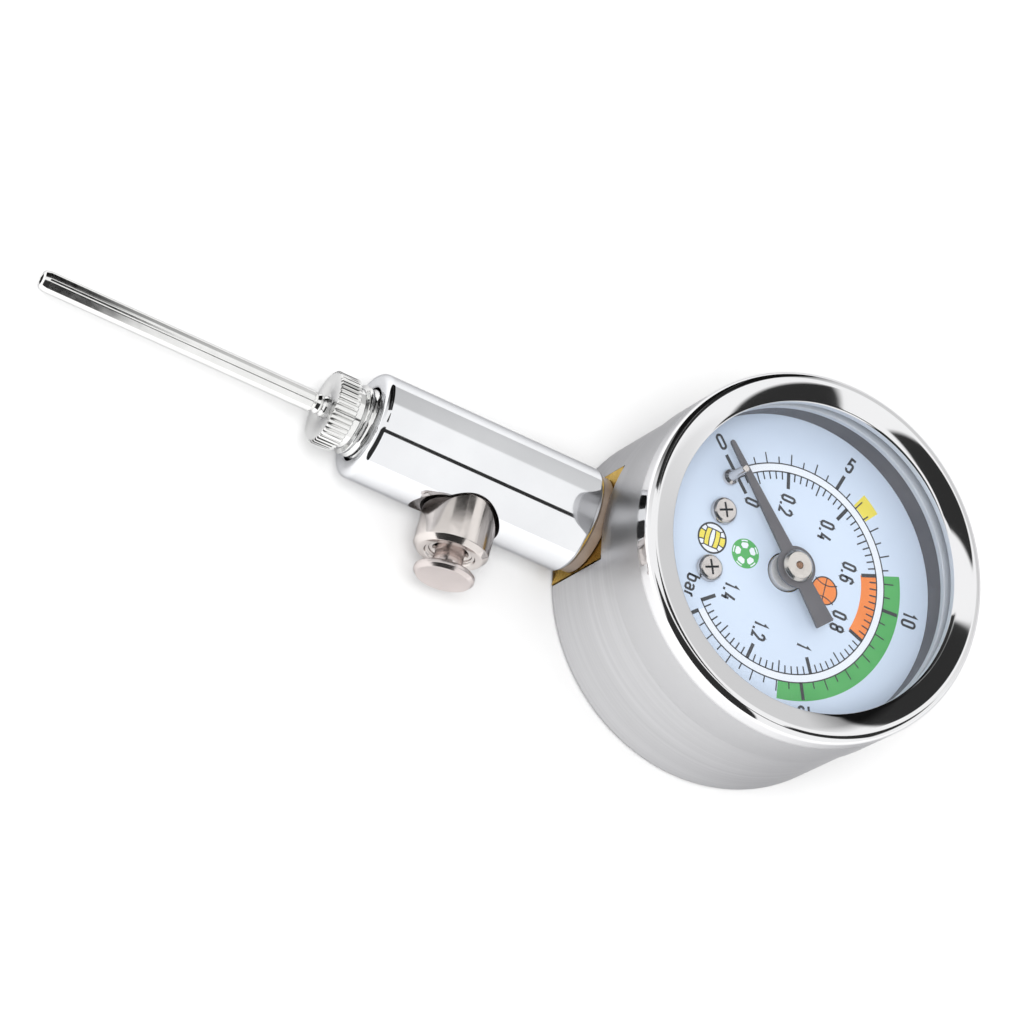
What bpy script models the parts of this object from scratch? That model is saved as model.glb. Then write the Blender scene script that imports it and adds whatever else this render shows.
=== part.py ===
"""Ball pressure gauge with an inflation needle and a press-button bleed valve.

Blender 4.5, metres, +Z up. The gauge lies on its case back. The origin is the centre of the back
face, below the pointer's axis. +Z points out of the dial, the body tube and the needle run along
-X, and the bleed button faces -Y.
"""

from math import atan2, cos, degrees, hypot, pi, radians, sin

import bmesh
import bpy
from mathutils import Matrix

OBJECT_NAME = "ball_pressure_gauge"

# Facets of a full turn
BIG = 48
ROUND = 32
SMALL = 16

GAP = 0.00005  # between pieces that touch on the real object
RUNNING = 0.00006  # radial clearance of a shaft in its hole

# Case, bezel and window
CASE_R = 0.0198
CASE_WALL = 0.0006
CASE_EDGE = 0.0008  # rounding of the back edge
NECK_R = 0.01935  # the case is necked in under the bezel's skirt
NECK_Z = 0.0139
CASE_RIM_Z = 0.0191
BEZEL_R = 0.0200
BEZEL_SKIRT_R = 0.0194
BEZEL_CREST_R = 0.0190
BEZEL_CREST_Z = 0.0222
BEZEL_LIP_R = 0.01675
BEZEL_LIP_Z = 0.0216
LENS_R = 0.0193
LENS_LOW_Z = 0.0192
LENS_HIGH_Z = 0.0208
GASKET_IN_R = 0.0170
GASKET_LOW_Z = 0.0183
SPACER_IN_R = 0.01725
SPACER_OUT_R = 0.0187

# Dial and pointer
DIAL_Z = 0.0154  # printed face
DIAL_T = 0.0004
DIAL_R = 0.0186
DIAL_HOLE_R = 0.00215
DIAL_SCREW_X = -0.0087
DIAL_SCREW_Y = 0.00335
DIAL_SCREW_HEAD_R = 0.00142
DIAL_SCREW_R = 0.0008
ZERO_ANGLE = radians(135.7)  # direction of the zero mark, anticlockwise from +X
POINTER_SWEEP = radians(276.8)  # from zero to the top of the scale
POINTER_Z = 0.0174
POINTER_T = 0.0003
POINTER_HUB_R = 0.00225
POINTER_TIP = 0.0148
POINTER_TAIL = 0.0067
BUSH_TOP_Z = 0.0184
BUSH_TOP_R = 0.00175
STOP_PIN_X = -0.00885
STOP_PIN_Y = 0.0073
STOP_PIN_TOP_Z = 0.0190

# Stem axis, square stem block and body tube
STEM_Z = 0.00605
BLOCK_HALF = 0.0054
BLOCK_FACE_X = -0.0191
BLOCK_BACK_X = -0.0076
LEDGE_BACK_X = -0.0035
LEDGE_Z = 0.00795
NIPPLE_R = 0.00485
NIPPLE_END_X = -0.0279
AIR_R = 0.0008
WASHER_IN_R = 0.0050
WASHER_OUT_R = 0.00535
BODY_R = 0.0058
BODY_NEAR_X = -0.02035
BODY_FAR_X = -0.0464
BODY_EDGE = 0.0006
BODY_AIR_R = 0.0012
GAUGE_SOCKET_R = 0.00495
GAUGE_SOCKET_X = -0.0283
NEEDLE_SOCKET_R = 0.0040
NEEDLE_SOCKET_X = -0.0404

# Needle
HUB_R = 0.0040
HUB_FACE_X = -0.0509
HUB_STEP_X = -0.0484
COLLAR_R = 0.00335
COLLAR_END_X = -0.0476
THREAD_R = 0.00385
THREAD_END_X = -0.0415
NEEDLE_R = 0.00115
NEEDLE_BORE_R = 0.00075
NEEDLE_TIP_X = -0.0836
NEEDLE_ROOT_X = -0.0480
NEEDLE_WASHER_R = 0.0036

# Bleed valve, on the line x = VALVE_X, z = STEM_Z
VALVE_X = -0.0332
HOUSING_R = 0.0040
HOUSING_FACE_Y = -0.0096
HOUSING_SHOULDER_Y = -0.0040
HOUSING_NECK_R = 0.0029
HOUSING_END_Y = -0.0012
HOUSING_EDGE = 0.0006
SPOT_FACE_R = 0.0043
SPOT_FACE_Y = -0.0039
NOTCH_X = -0.0356
NOTCH_R = 0.0032
NOTCH_Y = -0.0048
SPRING_WELL_R = 0.0023
SPRING_WELL_Y = -0.0050
STEM_HOLE_R = 0.0011
SEAT_R = 0.0020
SEAT_Y = -0.0030
BUTTON_R = 0.00325
BUTTON_FACE_Y = -0.0124
BUTTON_BACK_Y = -0.0115
BUTTON_EDGE = 0.00025
BUTTON_STEM_R = 0.00155
BUTTON_SHOULDER_Y = -0.0080
BUTTON_PIN_R = 0.0010
BUTTON_END_Y = -0.0010

# Movement: the pinion turns on the origin's axis, the sector beside it
MODULE = 0.0003
PINION_TEETH = 8
SECTOR_TEETH = 48  # of a full turn
SECTOR_X = -0.0020
SECTOR_REACH = MODULE * (PINION_TEETH + SECTOR_TEETH) / 2  # distance between the two arbors
SECTOR_Y = -((SECTOR_REACH**2 - SECTOR_X**2) ** 0.5)
SECTOR_SWEEP = POINTER_SWEEP * PINION_TEETH / SECTOR_TEETH
SECTOR_Z = 0.0108
SECTOR_T = 0.0008
TAIL_R = 0.0026
LINK_LENGTH = 0.0052
LINK_Z = 0.01165
LINK_T = 0.0004
PIN_R = 0.00035
OPEN_PIVOT_R = 0.00075  # hole of the link round the tube's pin, the pivot that is left open
BOTTOM_PLATE_Z = 0.0080
PLATE_T = 0.0010
PLATE_REACH = 0.0015  # of a plate round the centre of each pillar
TOP_PLATE_Z = 0.0132
BOSS_TOP_Z = 0.0158  # the boss comes up through the dial's hole, under the pointer's bush
ARBOR_R = 0.00045
PILLAR_R = 0.0009
PILLARS = ((-0.0056, 0.0026), (0.0052, 0.0015), (-0.0005, -0.0108))
MOVEMENT_SCREWS = ((-0.0052, -0.0040), (-0.0050, -0.0004))
CASE_SCREWS = ((-0.0100, -0.0034), (-0.0100, 0.0034))

# Bourdon tube: an arc round the movement, clockwise from its root in the block to its tip
TUBE_R = 0.0134
TUBE_HALF_WIDE = 0.0008
TUBE_HALF_TALL = 0.0032
TUBE_Z = 0.0064
TUBE_WALL = 0.00022
TUBE_ROOT = radians(156)
TUBE_TIP = radians(-107)


# Tools


def clear_scene():
    for obj in list(bpy.data.objects):
        bpy.data.objects.remove(obj)


def make_collection(name):
    collection = bpy.data.collections.new(name)
    bpy.context.scene.collection.children.link(collection)
    return collection


def make_material(name, color, roughness, metallic):
    material = bpy.data.materials.new(name)
    material.use_nodes = True
    shader = material.node_tree.nodes["Principled BSDF"]
    shader.inputs["Base Color"].default_value = (*color, 1)
    shader.inputs["Roughness"].default_value = roughness
    shader.inputs["Metallic"].default_value = metallic
    return material


def turned_about(axis):
    """The rotation that takes a shape turned about +Z to the named axis."""
    if axis == "X":
        return Matrix.Rotation(pi / 2, 4, "Y")
    if axis == "Y":
        return Matrix.Rotation(-pi / 2, 4, "X")
    return Matrix.Identity(4)


def place(obj, material, at=(0, 0, 0), axis="Z"):
    """Puts an object in the part's collection, or with no material among the hidden cutters."""
    obj.matrix_world = Matrix.Translation(at) @ turned_about(axis)
    if material is None:
        CUTTERS.objects.link(obj)
        obj.hide_render = True
        obj.display_type = "WIRE"
        return obj
    PARTS.objects.link(obj)
    obj.data.materials.append(material)
    return obj


def turned(name, material, outline, at=(0, 0, 0), axis="Z", facets=ROUND):
    """A turned solid. outline is (radius, height) down the outer side; it may start and end on the axis."""
    on_axis = outline[0][0] == 0 and outline[-1][0] == 0
    count = len(outline)
    edges = [(i, (i + 1) % count) for i in range(count - 1 if on_axis else count)]
    mesh = bpy.data.meshes.new(name)
    mesh.from_pydata([(radius, 0, height) for radius, height in outline], edges, [])
    obj = place(bpy.data.objects.new(name, mesh), material, at, axis)
    screw = obj.modifiers.new("Turn", "SCREW")
    screw.steps = facets
    screw.render_steps = facets
    screw.use_merge_vertices = True
    screw.merge_threshold = 0.000001
    screw.use_smooth_shade = False
    return obj


def rod(name, material, radius, low, high, at=(0, 0, 0), axis="Z", facets=ROUND):
    """A plain cylinder between two heights along its axis."""
    mesh = bpy.data.meshes.new(name)
    shape = bmesh.new()
    bmesh.ops.create_cone(
        shape,
        cap_ends=True,
        segments=facets,
        radius1=radius,
        radius2=radius,
        depth=high - low,
        matrix=Matrix.Translation((0, 0, (low + high) / 2)),
    )
    shape.to_mesh(mesh)
    shape.free()
    return place(bpy.data.objects.new(name, mesh), material, at, axis)


def ring(name, material, inner, outer, low, high, at=(0, 0, 0), axis="Z", facets=ROUND):
    outline = [(outer, high), (outer, low), (inner, low), (inner, high)]
    return turned(name, material, outline, at, axis, facets)


def block(name, material, low, high):
    """A box between two opposite corners."""
    mesh = bpy.data.meshes.new(name)
    shape = bmesh.new()
    size = [b - a for a, b in zip(low, high)]
    centre = [(a + b) / 2 for a, b in zip(low, high)]
    matrix = Matrix.Translation(centre) @ Matrix.Diagonal((*size, 1))
    bmesh.ops.create_cube(shape, size=1, matrix=matrix)
    shape.to_mesh(mesh)
    shape.free()
    return place(bpy.data.objects.new(name, mesh), material)


def combine(obj, operation, *others):
    for other in others:
        modifier = obj.modifiers.new(other.name, "BOOLEAN")
        modifier.operation = operation
        modifier.object = other
    return obj


def cut(obj, *cutters):
    return combine(obj, "DIFFERENCE", *cutters)


def join(obj, *pieces):
    return combine(obj, "UNION", *pieces)


def meshed(curve_object):
    """A mesh made from a curve object, with its caps welded on. The curve is removed."""
    bpy.context.view_layer.update()
    graph = bpy.context.evaluated_depsgraph_get()
    mesh = bpy.data.meshes.new_from_object(curve_object.evaluated_get(graph))
    shape = bmesh.new()
    shape.from_mesh(mesh)
    bmesh.ops.remove_doubles(shape, verts=shape.verts, dist=0.0000005)
    bmesh.ops.recalc_face_normals(shape, faces=shape.faces)
    shape.to_mesh(mesh)
    shape.free()
    name = curve_object.name
    matrix = curve_object.matrix_world.copy()
    bpy.data.objects.remove(curve_object)
    obj = bpy.data.objects.new(name, mesh)
    obj.matrix_world = matrix
    return obj


def plate(name, material, outlines, low, thickness):
    """A flat piece from closed outlines in X and Y: the first is its edge, the others are holes."""
    curve = bpy.data.curves.new(name, "CURVE")
    curve.dimensions = "2D"
    curve.fill_mode = "BOTH"
    curve.extrude = thickness / 2
    for outline in outlines:
        spline = curve.splines.new("POLY")
        spline.points.add(len(outline) - 1)
        for point, (x, y) in zip(spline.points, outline):
            point.co = (x, y, 0, 1)
        spline.use_cyclic_u = True
    curve_object = bpy.data.objects.new(name, curve)
    bpy.context.scene.collection.objects.link(curve_object)
    curve_object.location.z = low + thickness / 2
    obj = meshed(curve_object)
    at = obj.matrix_world.translation.copy()
    return place(obj, material, at)


def wire(name, material, points, radius, facets=2):
    """A round wire along points."""
    curve = bpy.data.curves.new(name, "CURVE")
    curve.dimensions = "3D"
    curve.bevel_depth = radius
    curve.bevel_resolution = facets
    curve.use_fill_caps = True
    spline = curve.splines.new("POLY")
    spline.points.add(len(points) - 1)
    for point, position in zip(spline.points, points):
        point.co = (*position, 1)
    curve_object = bpy.data.objects.new(name, curve)
    bpy.context.scene.collection.objects.link(curve_object)
    return place(meshed(curve_object), material)


def circle(x, y, radius, facets=SMALL):
    turn = 2 * pi / facets
    return [(x + radius * cos(turn * i), y + radius * sin(turn * i)) for i in range(facets)]


def arc(x, y, radius, start, end, count):
    step = (end - start) / (count - 1)
    return [(x + radius * cos(start + step * i), y + radius * sin(start + step * i)) for i in range(count)]


def teeth(x, y, count_full, first, count, outward=0.8, inward=1.1, share=0.36):
    """Points of some gear teeth round (x, y). first is the direction of the first tooth's middle."""
    pitch_r = MODULE * count_full / 2
    step = 2 * pi / count_full
    half = share * step / 2
    points = []
    for i in range(count):
        middle = first + step * i
        for side, radius, width in (
            (-1, pitch_r - inward * MODULE, 1.35),
            (-1, pitch_r + outward * MODULE, 0.55),
            (1, pitch_r + outward * MODULE, 0.55),
            (1, pitch_r - inward * MODULE, 1.35),
        ):
            angle = middle + side * half * width
            points.append((x + radius * cos(angle), y + radius * sin(angle)))
    return points


# Case


def make_case():
    """The case cup, open to the front, with a square opening for the stem block."""
    inner = CASE_R - CASE_WALL
    neck_inner = NECK_R - CASE_WALL
    cup = turned(
        "case_cup",
        STEEL,
        [
            (0, CASE_WALL),
            (inner, CASE_WALL),
            (inner, NECK_Z - CASE_WALL),
            (neck_inner, NECK_Z),
            (neck_inner, CASE_RIM_Z),
            (NECK_R, CASE_RIM_Z),
            (NECK_R, NECK_Z),
            (CASE_R, NECK_Z - GAP),
            (CASE_R, CASE_EDGE),
            (CASE_R - CASE_EDGE / 3, CASE_EDGE / 3),
            (CASE_R - CASE_EDGE, 0),
            (0, 0),
        ],
        facets=BIG,
    )
    room = 0.00015
    opening = block(
        "stem_opening",
        None,
        (-0.021, -BLOCK_HALF - room, CASE_WALL + GAP),
        (-0.016, BLOCK_HALF + room, STEM_Z + BLOCK_HALF + room),
    )
    cut(cup, opening)
    for number, (x, y) in enumerate(CASE_SCREWS, 1):
        hole = turned(
            f"case_screw_hole_{number}",
            None,
            [(0, 0.001), (0.0009, 0.001), (0.0009, 0.00045), (0.00145, -0.0001), (0, -0.0001)],
            (x, y, 0),
            facets=SMALL,
        )
        cut(cup, hole)
        turned(
            f"case_screw_{number}",
            BRIGHT_STEEL,
            [(0, 0.0040), (0.00075, 0.0040), (0.00075, 0.00055), (0.00125, GAP), (0, GAP)],
            (x, y, 0),
            facets=SMALL,
        )


def make_bezel():
    turned(
        "bezel_ring",
        CHROME,
        [
            (BEZEL_LIP_R, BEZEL_LIP_Z),
            (BEZEL_CREST_R - 0.0004, BEZEL_CREST_Z - 0.0001),
            (BEZEL_CREST_R, BEZEL_CREST_Z),
            (BEZEL_CREST_R + 0.0005, BEZEL_CREST_Z - 0.0002),
            (BEZEL_R - 0.0001, BEZEL_CREST_Z - 0.0008),
            (BEZEL_R, BEZEL_CREST_Z - 0.0014),
            (BEZEL_R, NECK_Z + GAP),
            (BEZEL_SKIRT_R, NECK_Z + GAP),
            (BEZEL_SKIRT_R, LENS_HIGH_Z + GAP),
            (BEZEL_LIP_R, LENS_HIGH_Z + GAP),
        ],
        facets=BIG,
    )
    rod("lens", GLASS, LENS_R, LENS_LOW_Z, LENS_HIGH_Z, facets=BIG)
    ring("lens_gasket", SEAL_GREY, GASKET_IN_R, SPACER_OUT_R, GASKET_LOW_Z, LENS_LOW_Z - GAP, facets=BIG)
    ring("spacer_ring", DARK_GREY, SPACER_IN_R, SPACER_OUT_R, DIAL_Z + GAP, GASKET_LOW_Z - GAP, facets=BIG)


# Dial and pointer


def make_dial():
    dial = rod("dial_plate", DIAL_BLUE, DIAL_R, DIAL_Z - DIAL_T, DIAL_Z, facets=BIG)
    cut(dial, rod("dial_centre_hole", None, DIAL_HOLE_R, 0.014, 0.017))
    cut(dial, rod("stop_pin_hole", None, 0.00045, 0.014, 0.017, (STOP_PIN_X, STOP_PIN_Y, 0), facets=SMALL))
    for number, side in ((1, 1), (2, -1)):
        at = (DIAL_SCREW_X, side * DIAL_SCREW_Y, 0)
        cut(dial, rod(f"dial_screw_hole_{number}", None, DIAL_SCREW_R + GAP, 0.014, 0.017, at, facets=SMALL))
        turned(
            f"dial_screw_{number}",
            NICKEL,
            [
                (0, DIAL_Z + 0.0009),
                (0.0009, DIAL_Z + 0.0008),
                (DIAL_SCREW_HEAD_R, DIAL_Z + 0.00045),
                (DIAL_SCREW_HEAD_R, DIAL_Z + GAP),
                (DIAL_SCREW_R, DIAL_Z + GAP),
                (DIAL_SCREW_R, 0.0122),
                (0, 0.0122),
            ],
            at,
            facets=SMALL,
        )
    turned(
        "stop_pin",
        NICKEL,
        [
            (0, STOP_PIN_TOP_Z),
            (0.00042, STOP_PIN_TOP_Z),
            (0.0005, DIAL_Z + 0.0007),
            (0.00085, DIAL_Z + 0.0004),
            (0.00085, DIAL_Z + GAP),
            (0.0004, DIAL_Z + GAP),
            (0.0004, DIAL_Z - DIAL_T - 0.0003),
            (0, DIAL_Z - DIAL_T - 0.0003),
        ],
        (STOP_PIN_X, STOP_PIN_Y, 0),
        facets=SMALL,
    )


def pointer_outline():
    """The pointer's edge, drawn along +X: a round hub, a tapered blade and a flat counterweight."""
    blade_half, tip_half = 0.00078, 0.00025
    tail_half, tail_end_half = 0.00095, 0.00112
    to_blade = atan2(blade_half, POINTER_HUB_R)
    to_tail = pi - atan2(tail_half, POINTER_HUB_R)
    edge = [(POINTER_TIP, 0), (POINTER_TIP - 0.0001, tip_half * 0.7), (POINTER_TIP - 0.0003, tip_half)]
    edge += arc(0, 0, POINTER_HUB_R, to_blade, to_tail, 12)
    edge += [(-POINTER_TAIL, tail_end_half)]
    mirrored = [(x, -y) for x, y in reversed(edge[1:])]
    return edge + mirrored


def make_pointer():
    bore = circle(0, 0, 0.0006)
    pointer = plate("pointer", POINTER_GREY, [pointer_outline(), bore], POINTER_Z, POINTER_T)
    pointer.rotation_euler.z = ZERO_ANGLE
    turned(
        "pointer_bush",
        NICKEL,
        [
            (0, BUSH_TOP_Z),
            (0.00145, BUSH_TOP_Z),
            (BUSH_TOP_R, BUSH_TOP_Z - 0.00025),
            (BUSH_TOP_R, POINTER_Z + POINTER_T + GAP / 2),
            (0.00055, POINTER_Z + POINTER_T + GAP / 2),
            (0.00055, POINTER_Z - GAP / 2),
            (0.0010, POINTER_Z - GAP / 2),
            (0.0009, DIAL_Z + 0.0006),
            (ARBOR_R - 0.0001 + GAP / 2, DIAL_Z + 0.0006),
            (ARBOR_R - 0.0001 + GAP / 2, BUSH_TOP_Z - 0.0003),
            (0, BUSH_TOP_Z - 0.0003),
        ],
    )


# Stem block, body tube and seals


def tube_sector(name, grow, start, end, steps):
    """A solid length of the Bourdon tube's oval, grown by a distance, from one direction to another."""
    wide = TUBE_HALF_WIDE + grow
    tall = TUBE_HALF_TALL + grow
    mesh = bpy.data.meshes.new(name)
    shape = bmesh.new()
    corner = wide
    section = []
    for middle, first in ((tall - corner, 0), (-(tall - corner), pi)):
        for x, z in arc(0, middle, corner, first, first + pi, 5):
            section.append(shape.verts.new((TUBE_R + x, 0, TUBE_Z + z)))
    face = shape.faces.new(section)
    bmesh.ops.rotate(shape, verts=shape.verts, cent=(0, 0, 0), matrix=Matrix.Rotation(start, 3, "Z"))
    bmesh.ops.spin(
        shape,
        geom=[face, *face.edges, *face.verts],
        cent=(0, 0, 0),
        axis=(0, 0, 1),
        angle=end - start,
        steps=steps,
    )
    open_edges = [edge for edge in shape.edges if len(edge.link_faces) == 1]
    bmesh.ops.holes_fill(shape, edges=open_edges, sides=0)
    bmesh.ops.recalc_face_normals(shape, faces=shape.faces)
    shape.to_mesh(mesh)
    shape.free()
    return bpy.data.objects.new(name, mesh)


def make_stem_block():
    """The square brass block, with a nipple, dial posts, a ledge for the movement and a lug for the tube."""
    low_z = STEM_Z - BLOCK_HALF
    body = block(
        "stem_block",
        BRASS,
        (BLOCK_FACE_X, -BLOCK_HALF, low_z),
        (BLOCK_BACK_X, BLOCK_HALF, STEM_Z + BLOCK_HALF),
    )
    overlap = 0.0005
    pieces = [
        block(
            "ledge", None, (BLOCK_BACK_X - overlap, -BLOCK_HALF, low_z), (LEDGE_BACK_X, BLOCK_HALF, LEDGE_Z)
        ),
        block("tube_lug", None, (-0.0142, BLOCK_HALF - overlap, 0.0022), (-0.0096, 0.0073, 0.0106)),
        rod("nipple", None, NIPPLE_R, NIPPLE_END_X, BLOCK_FACE_X + overlap, (0, 0, STEM_Z), "X"),
    ]
    post_top = DIAL_Z - DIAL_T - GAP
    for number, side in ((1, 1), (2, -1)):
        at = (DIAL_SCREW_X, side * DIAL_SCREW_Y, 0)
        pieces.append(rod(f"dial_post_{number}", None, 0.0015, 0.011, post_top, at, facets=SMALL))
    join(body, *pieces)
    cutters = [
        rod("stem_air_way", None, AIR_R, -0.029, -0.0115, (0, 0, STEM_Z), "X", SMALL),
        rod("tube_air_way", None, AIR_R, -0.0004, 0.0062, (-0.0121, 0, STEM_Z), "Y", SMALL),
        place(tube_sector("tube_slot", GAP, TUBE_ROOT + radians(1.2), radians(135), 6), None),
    ]
    for number, side in ((1, 1), (2, -1)):
        at = (DIAL_SCREW_X, side * DIAL_SCREW_Y, 0)
        hole_r = DIAL_SCREW_R + GAP
        cutters.append(rod(f"dial_post_hole_{number}", None, hole_r, 0.012, 0.016, at, facets=SMALL))
    for number, (x, y) in enumerate(CASE_SCREWS, 1):
        cutters.append(rod(f"block_screw_hole_{number}", None, 0.00085, 0, 0.0042, (x, y, 0), facets=SMALL))
    for number, (x, y) in enumerate(MOVEMENT_SCREWS, 1):
        name = f"ledge_screw_hole_{number}"
        cutters.append(rod(name, None, 0.00055, 0.0055, 0.009, (x, y, 0), facets=SMALL))
    cut(body, *cutters)
    ring(
        "seal_washer",
        WASHER_BROWN,
        WASHER_IN_R,
        WASHER_OUT_R,
        BODY_NEAR_X + GAP,
        BLOCK_FACE_X - GAP,
        (0, 0, STEM_Z),
        "X",
    )


def make_body_tube():
    """The chromed tube: gauge socket, air way, needle socket, and the bores for the bleed valve."""
    body = turned(
        "body_tube",
        CHROME,
        [
            (BODY_R - BODY_EDGE / 2, BODY_NEAR_X),
            (BODY_R, BODY_NEAR_X - BODY_EDGE / 2),
            (BODY_R, BODY_FAR_X + BODY_EDGE),
            (BODY_R - BODY_EDGE / 3, BODY_FAR_X + BODY_EDGE / 3),
            (BODY_R - BODY_EDGE, BODY_FAR_X),
            (NEEDLE_SOCKET_R, BODY_FAR_X),
            (NEEDLE_SOCKET_R, NEEDLE_SOCKET_X),
            (BODY_AIR_R, NEEDLE_SOCKET_X),
            (BODY_AIR_R, GAUGE_SOCKET_X),
            (GAUGE_SOCKET_R, GAUGE_SOCKET_X),
            (GAUGE_SOCKET_R, BODY_NEAR_X),
        ],
        (0, 0, STEM_Z),
        "X",
    )
    at = (VALVE_X, 0, STEM_Z)
    cut(
        body,
        rod("valve_bore", None, HOUSING_NECK_R + 2 * GAP, -0.008, 0.0014, at, "Y"),
        rod("spot_face", None, SPOT_FACE_R, -0.008, SPOT_FACE_Y, at, "Y"),
        rod("spot_face_notch", None, NOTCH_R, -0.008, NOTCH_Y, (NOTCH_X, 0, STEM_Z), "Y"),
    )


# Needle


def make_needle():
    at = (0, 0, STEM_Z)
    turned(
        "needle_hub",
        BRIGHT_NICKEL,
        [
            (THREAD_R - 0.0003, THREAD_END_X),
            (THREAD_R, THREAD_END_X - 0.0003),
            (THREAD_R, COLLAR_END_X),
            (COLLAR_R, COLLAR_END_X),
            (COLLAR_R, HUB_STEP_X),
            (HUB_R - 0.0002, HUB_STEP_X),
            (HUB_R, HUB_STEP_X - 0.0002),
            (HUB_R, HUB_FACE_X + 0.0003),
            (HUB_R - 0.0003, HUB_FACE_X),
            (NEEDLE_R + GAP, HUB_FACE_X),
            (NEEDLE_R + GAP, NEEDLE_ROOT_X + GAP),
            (NEEDLE_BORE_R, NEEDLE_ROOT_X + GAP),
            (NEEDLE_BORE_R, THREAD_END_X),
        ],
        at,
        "X",
    )
    turned(
        "needle_tube",
        BRIGHT_NICKEL,
        [
            (NEEDLE_R, NEEDLE_ROOT_X),
            (NEEDLE_R, NEEDLE_TIP_X + 0.0006),
            (NEEDLE_R - 0.00015, NEEDLE_TIP_X + 0.0002),
            (NEEDLE_R - 0.00045, NEEDLE_TIP_X),
            (0.0005, NEEDLE_TIP_X),
            (NEEDLE_BORE_R, NEEDLE_TIP_X + 0.0008),
            (NEEDLE_BORE_R, NEEDLE_ROOT_X),
        ],
        at,
        "X",
        SMALL,
    )
    ring(
        "needle_washer",
        RUBBER,
        NEEDLE_BORE_R,
        NEEDLE_WASHER_R,
        THREAD_END_X + GAP,
        NEEDLE_SOCKET_X - GAP,
        at,
        "X",
    )


# Bleed valve


def make_valve():
    at = (VALVE_X, 0, STEM_Z)
    turned(
        "valve_housing",
        NICKEL,
        [
            (SEAT_R, HOUSING_END_Y),
            (HOUSING_NECK_R, HOUSING_END_Y),
            (HOUSING_NECK_R, HOUSING_SHOULDER_Y),
            (HOUSING_R, HOUSING_SHOULDER_Y),
            (HOUSING_R, HOUSING_FACE_Y + HOUSING_EDGE),
            (HOUSING_R - HOUSING_EDGE / 3, HOUSING_FACE_Y + HOUSING_EDGE / 3),
            (HOUSING_R - HOUSING_EDGE, HOUSING_FACE_Y),
            (SPRING_WELL_R, HOUSING_FACE_Y),
            (SPRING_WELL_R, SPRING_WELL_Y),
            (STEM_HOLE_R, SPRING_WELL_Y),
            (STEM_HOLE_R, SEAT_Y),
            (SEAT_R, SEAT_Y),
        ],
        at,
        "Y",
    )
    turned(
        "valve_button",
        NICKEL,
        [
            (0, BUTTON_END_Y),
            (BUTTON_PIN_R * 0.6, BUTTON_END_Y),
            (BUTTON_PIN_R * 0.6, SEAT_Y + GAP),
            (BUTTON_PIN_R, SEAT_Y + GAP),
            (BUTTON_PIN_R, BUTTON_SHOULDER_Y),
            (BUTTON_STEM_R, BUTTON_SHOULDER_Y),
            (BUTTON_STEM_R, BUTTON_BACK_Y),
            (BUTTON_R - BUTTON_EDGE, BUTTON_BACK_Y),
            (BUTTON_R, BUTTON_BACK_Y - BUTTON_EDGE),
            (BUTTON_R, BUTTON_FACE_Y + BUTTON_EDGE),
            (BUTTON_R - BUTTON_EDGE, BUTTON_FACE_Y),
            (0, BUTTON_FACE_Y),
        ],
        at,
        "Y",
    )
    ring(
        "valve_o_ring",
        RUBBER,
        BUTTON_PIN_R * 0.6 + GAP,
        SEAT_R - 2 * GAP,
        SEAT_Y + GAP,
        SEAT_Y + 0.0008,
        at,
        "Y",
        SMALL,
    )
    ring(
        "valve_retainer",
        BRIGHT_STEEL,
        BUTTON_PIN_R * 0.6 + GAP,
        0.0014,
        SEAT_Y + 0.0008 + GAP,
        SEAT_Y + 0.0014,
        at,
        "Y",
        SMALL,
    )
    turns, per_turn, coil_r, wire_r = 3.5, 12, 0.00135, 0.0002
    start = SPRING_WELL_Y - wire_r - GAP
    rise = (BUTTON_SHOULDER_Y + wire_r + GAP) - start
    count = int(turns * per_turn) + 1
    points = []
    for i in range(count):
        angle = 2 * pi * i / per_turn
        along = start + rise * i / (count - 1)
        points.append((VALVE_X + coil_r * cos(angle), along, STEM_Z + coil_r * sin(angle)))
    wire("valve_spring", BRIGHT_STEEL, points, wire_r)


# Movement


def hull(centres, radius):
    """Edge of the plate that covers a disc round each centre: their convex outline."""
    spots = sorted(point for x, y in centres for point in circle(x, y, radius, 24))
    edge = []
    for run in (spots, spots[::-1]):
        start = len(edge)
        for x, y in run:
            while len(edge) - start > 1:
                (ax, ay), (bx, by) = edge[-2:]
                if (bx - ax) * (y - ay) - (by - ay) * (x - ax) > 0.0000000001:
                    break
                edge.pop()
            edge.append((x, y))
        edge.pop()
    return edge


def make_movement():
    arbors = [(0, 0), (SECTOR_X, SECTOR_Y)]
    holes = [circle(x, y, ARBOR_R + RUNNING, ROUND) for x, y in arbors]
    screw_holes = [circle(x, y, 0.00055) for x, y in MOVEMENT_SCREWS]
    edge = hull([*PILLARS, *MOVEMENT_SCREWS], PLATE_REACH)
    plate("movement_bottom_plate", BRASS, [edge, *holes, *screw_holes], BOTTOM_PLATE_Z, PLATE_T)
    edge = hull([*PILLARS, arbors[1]], PLATE_REACH)
    top_plate = plate("movement_top_plate", BRASS, [edge, *holes], TOP_PLATE_Z, PLATE_T)
    boss_low = TOP_PLATE_Z + PLATE_T / 2
    join(top_plate, ring("pointer_boss", None, ARBOR_R + RUNNING, 0.0019, boss_low, BOSS_TOP_Z))
    for number, (x, y) in enumerate(PILLARS, 1):
        low = BOTTOM_PLATE_Z + PLATE_T + GAP
        rod(f"pillar_{number}", BRASS, PILLAR_R, low, TOP_PLATE_Z - GAP, (x, y, 0), facets=SMALL)
    for number, (x, y) in enumerate(MOVEMENT_SCREWS, 1):
        head = BOTTOM_PLATE_Z + PLATE_T + GAP
        turned(
            f"movement_screw_{number}",
            BRIGHT_STEEL,
            [
                (0, head + 0.0006),
                (0.0009, head + 0.0006),
                (0.0009, head),
                (0.0005, head),
                (0.0005, 0.0056),
                (0, 0.0056),
            ],
            (x, y, 0),
            facets=SMALL,
        )


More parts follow.
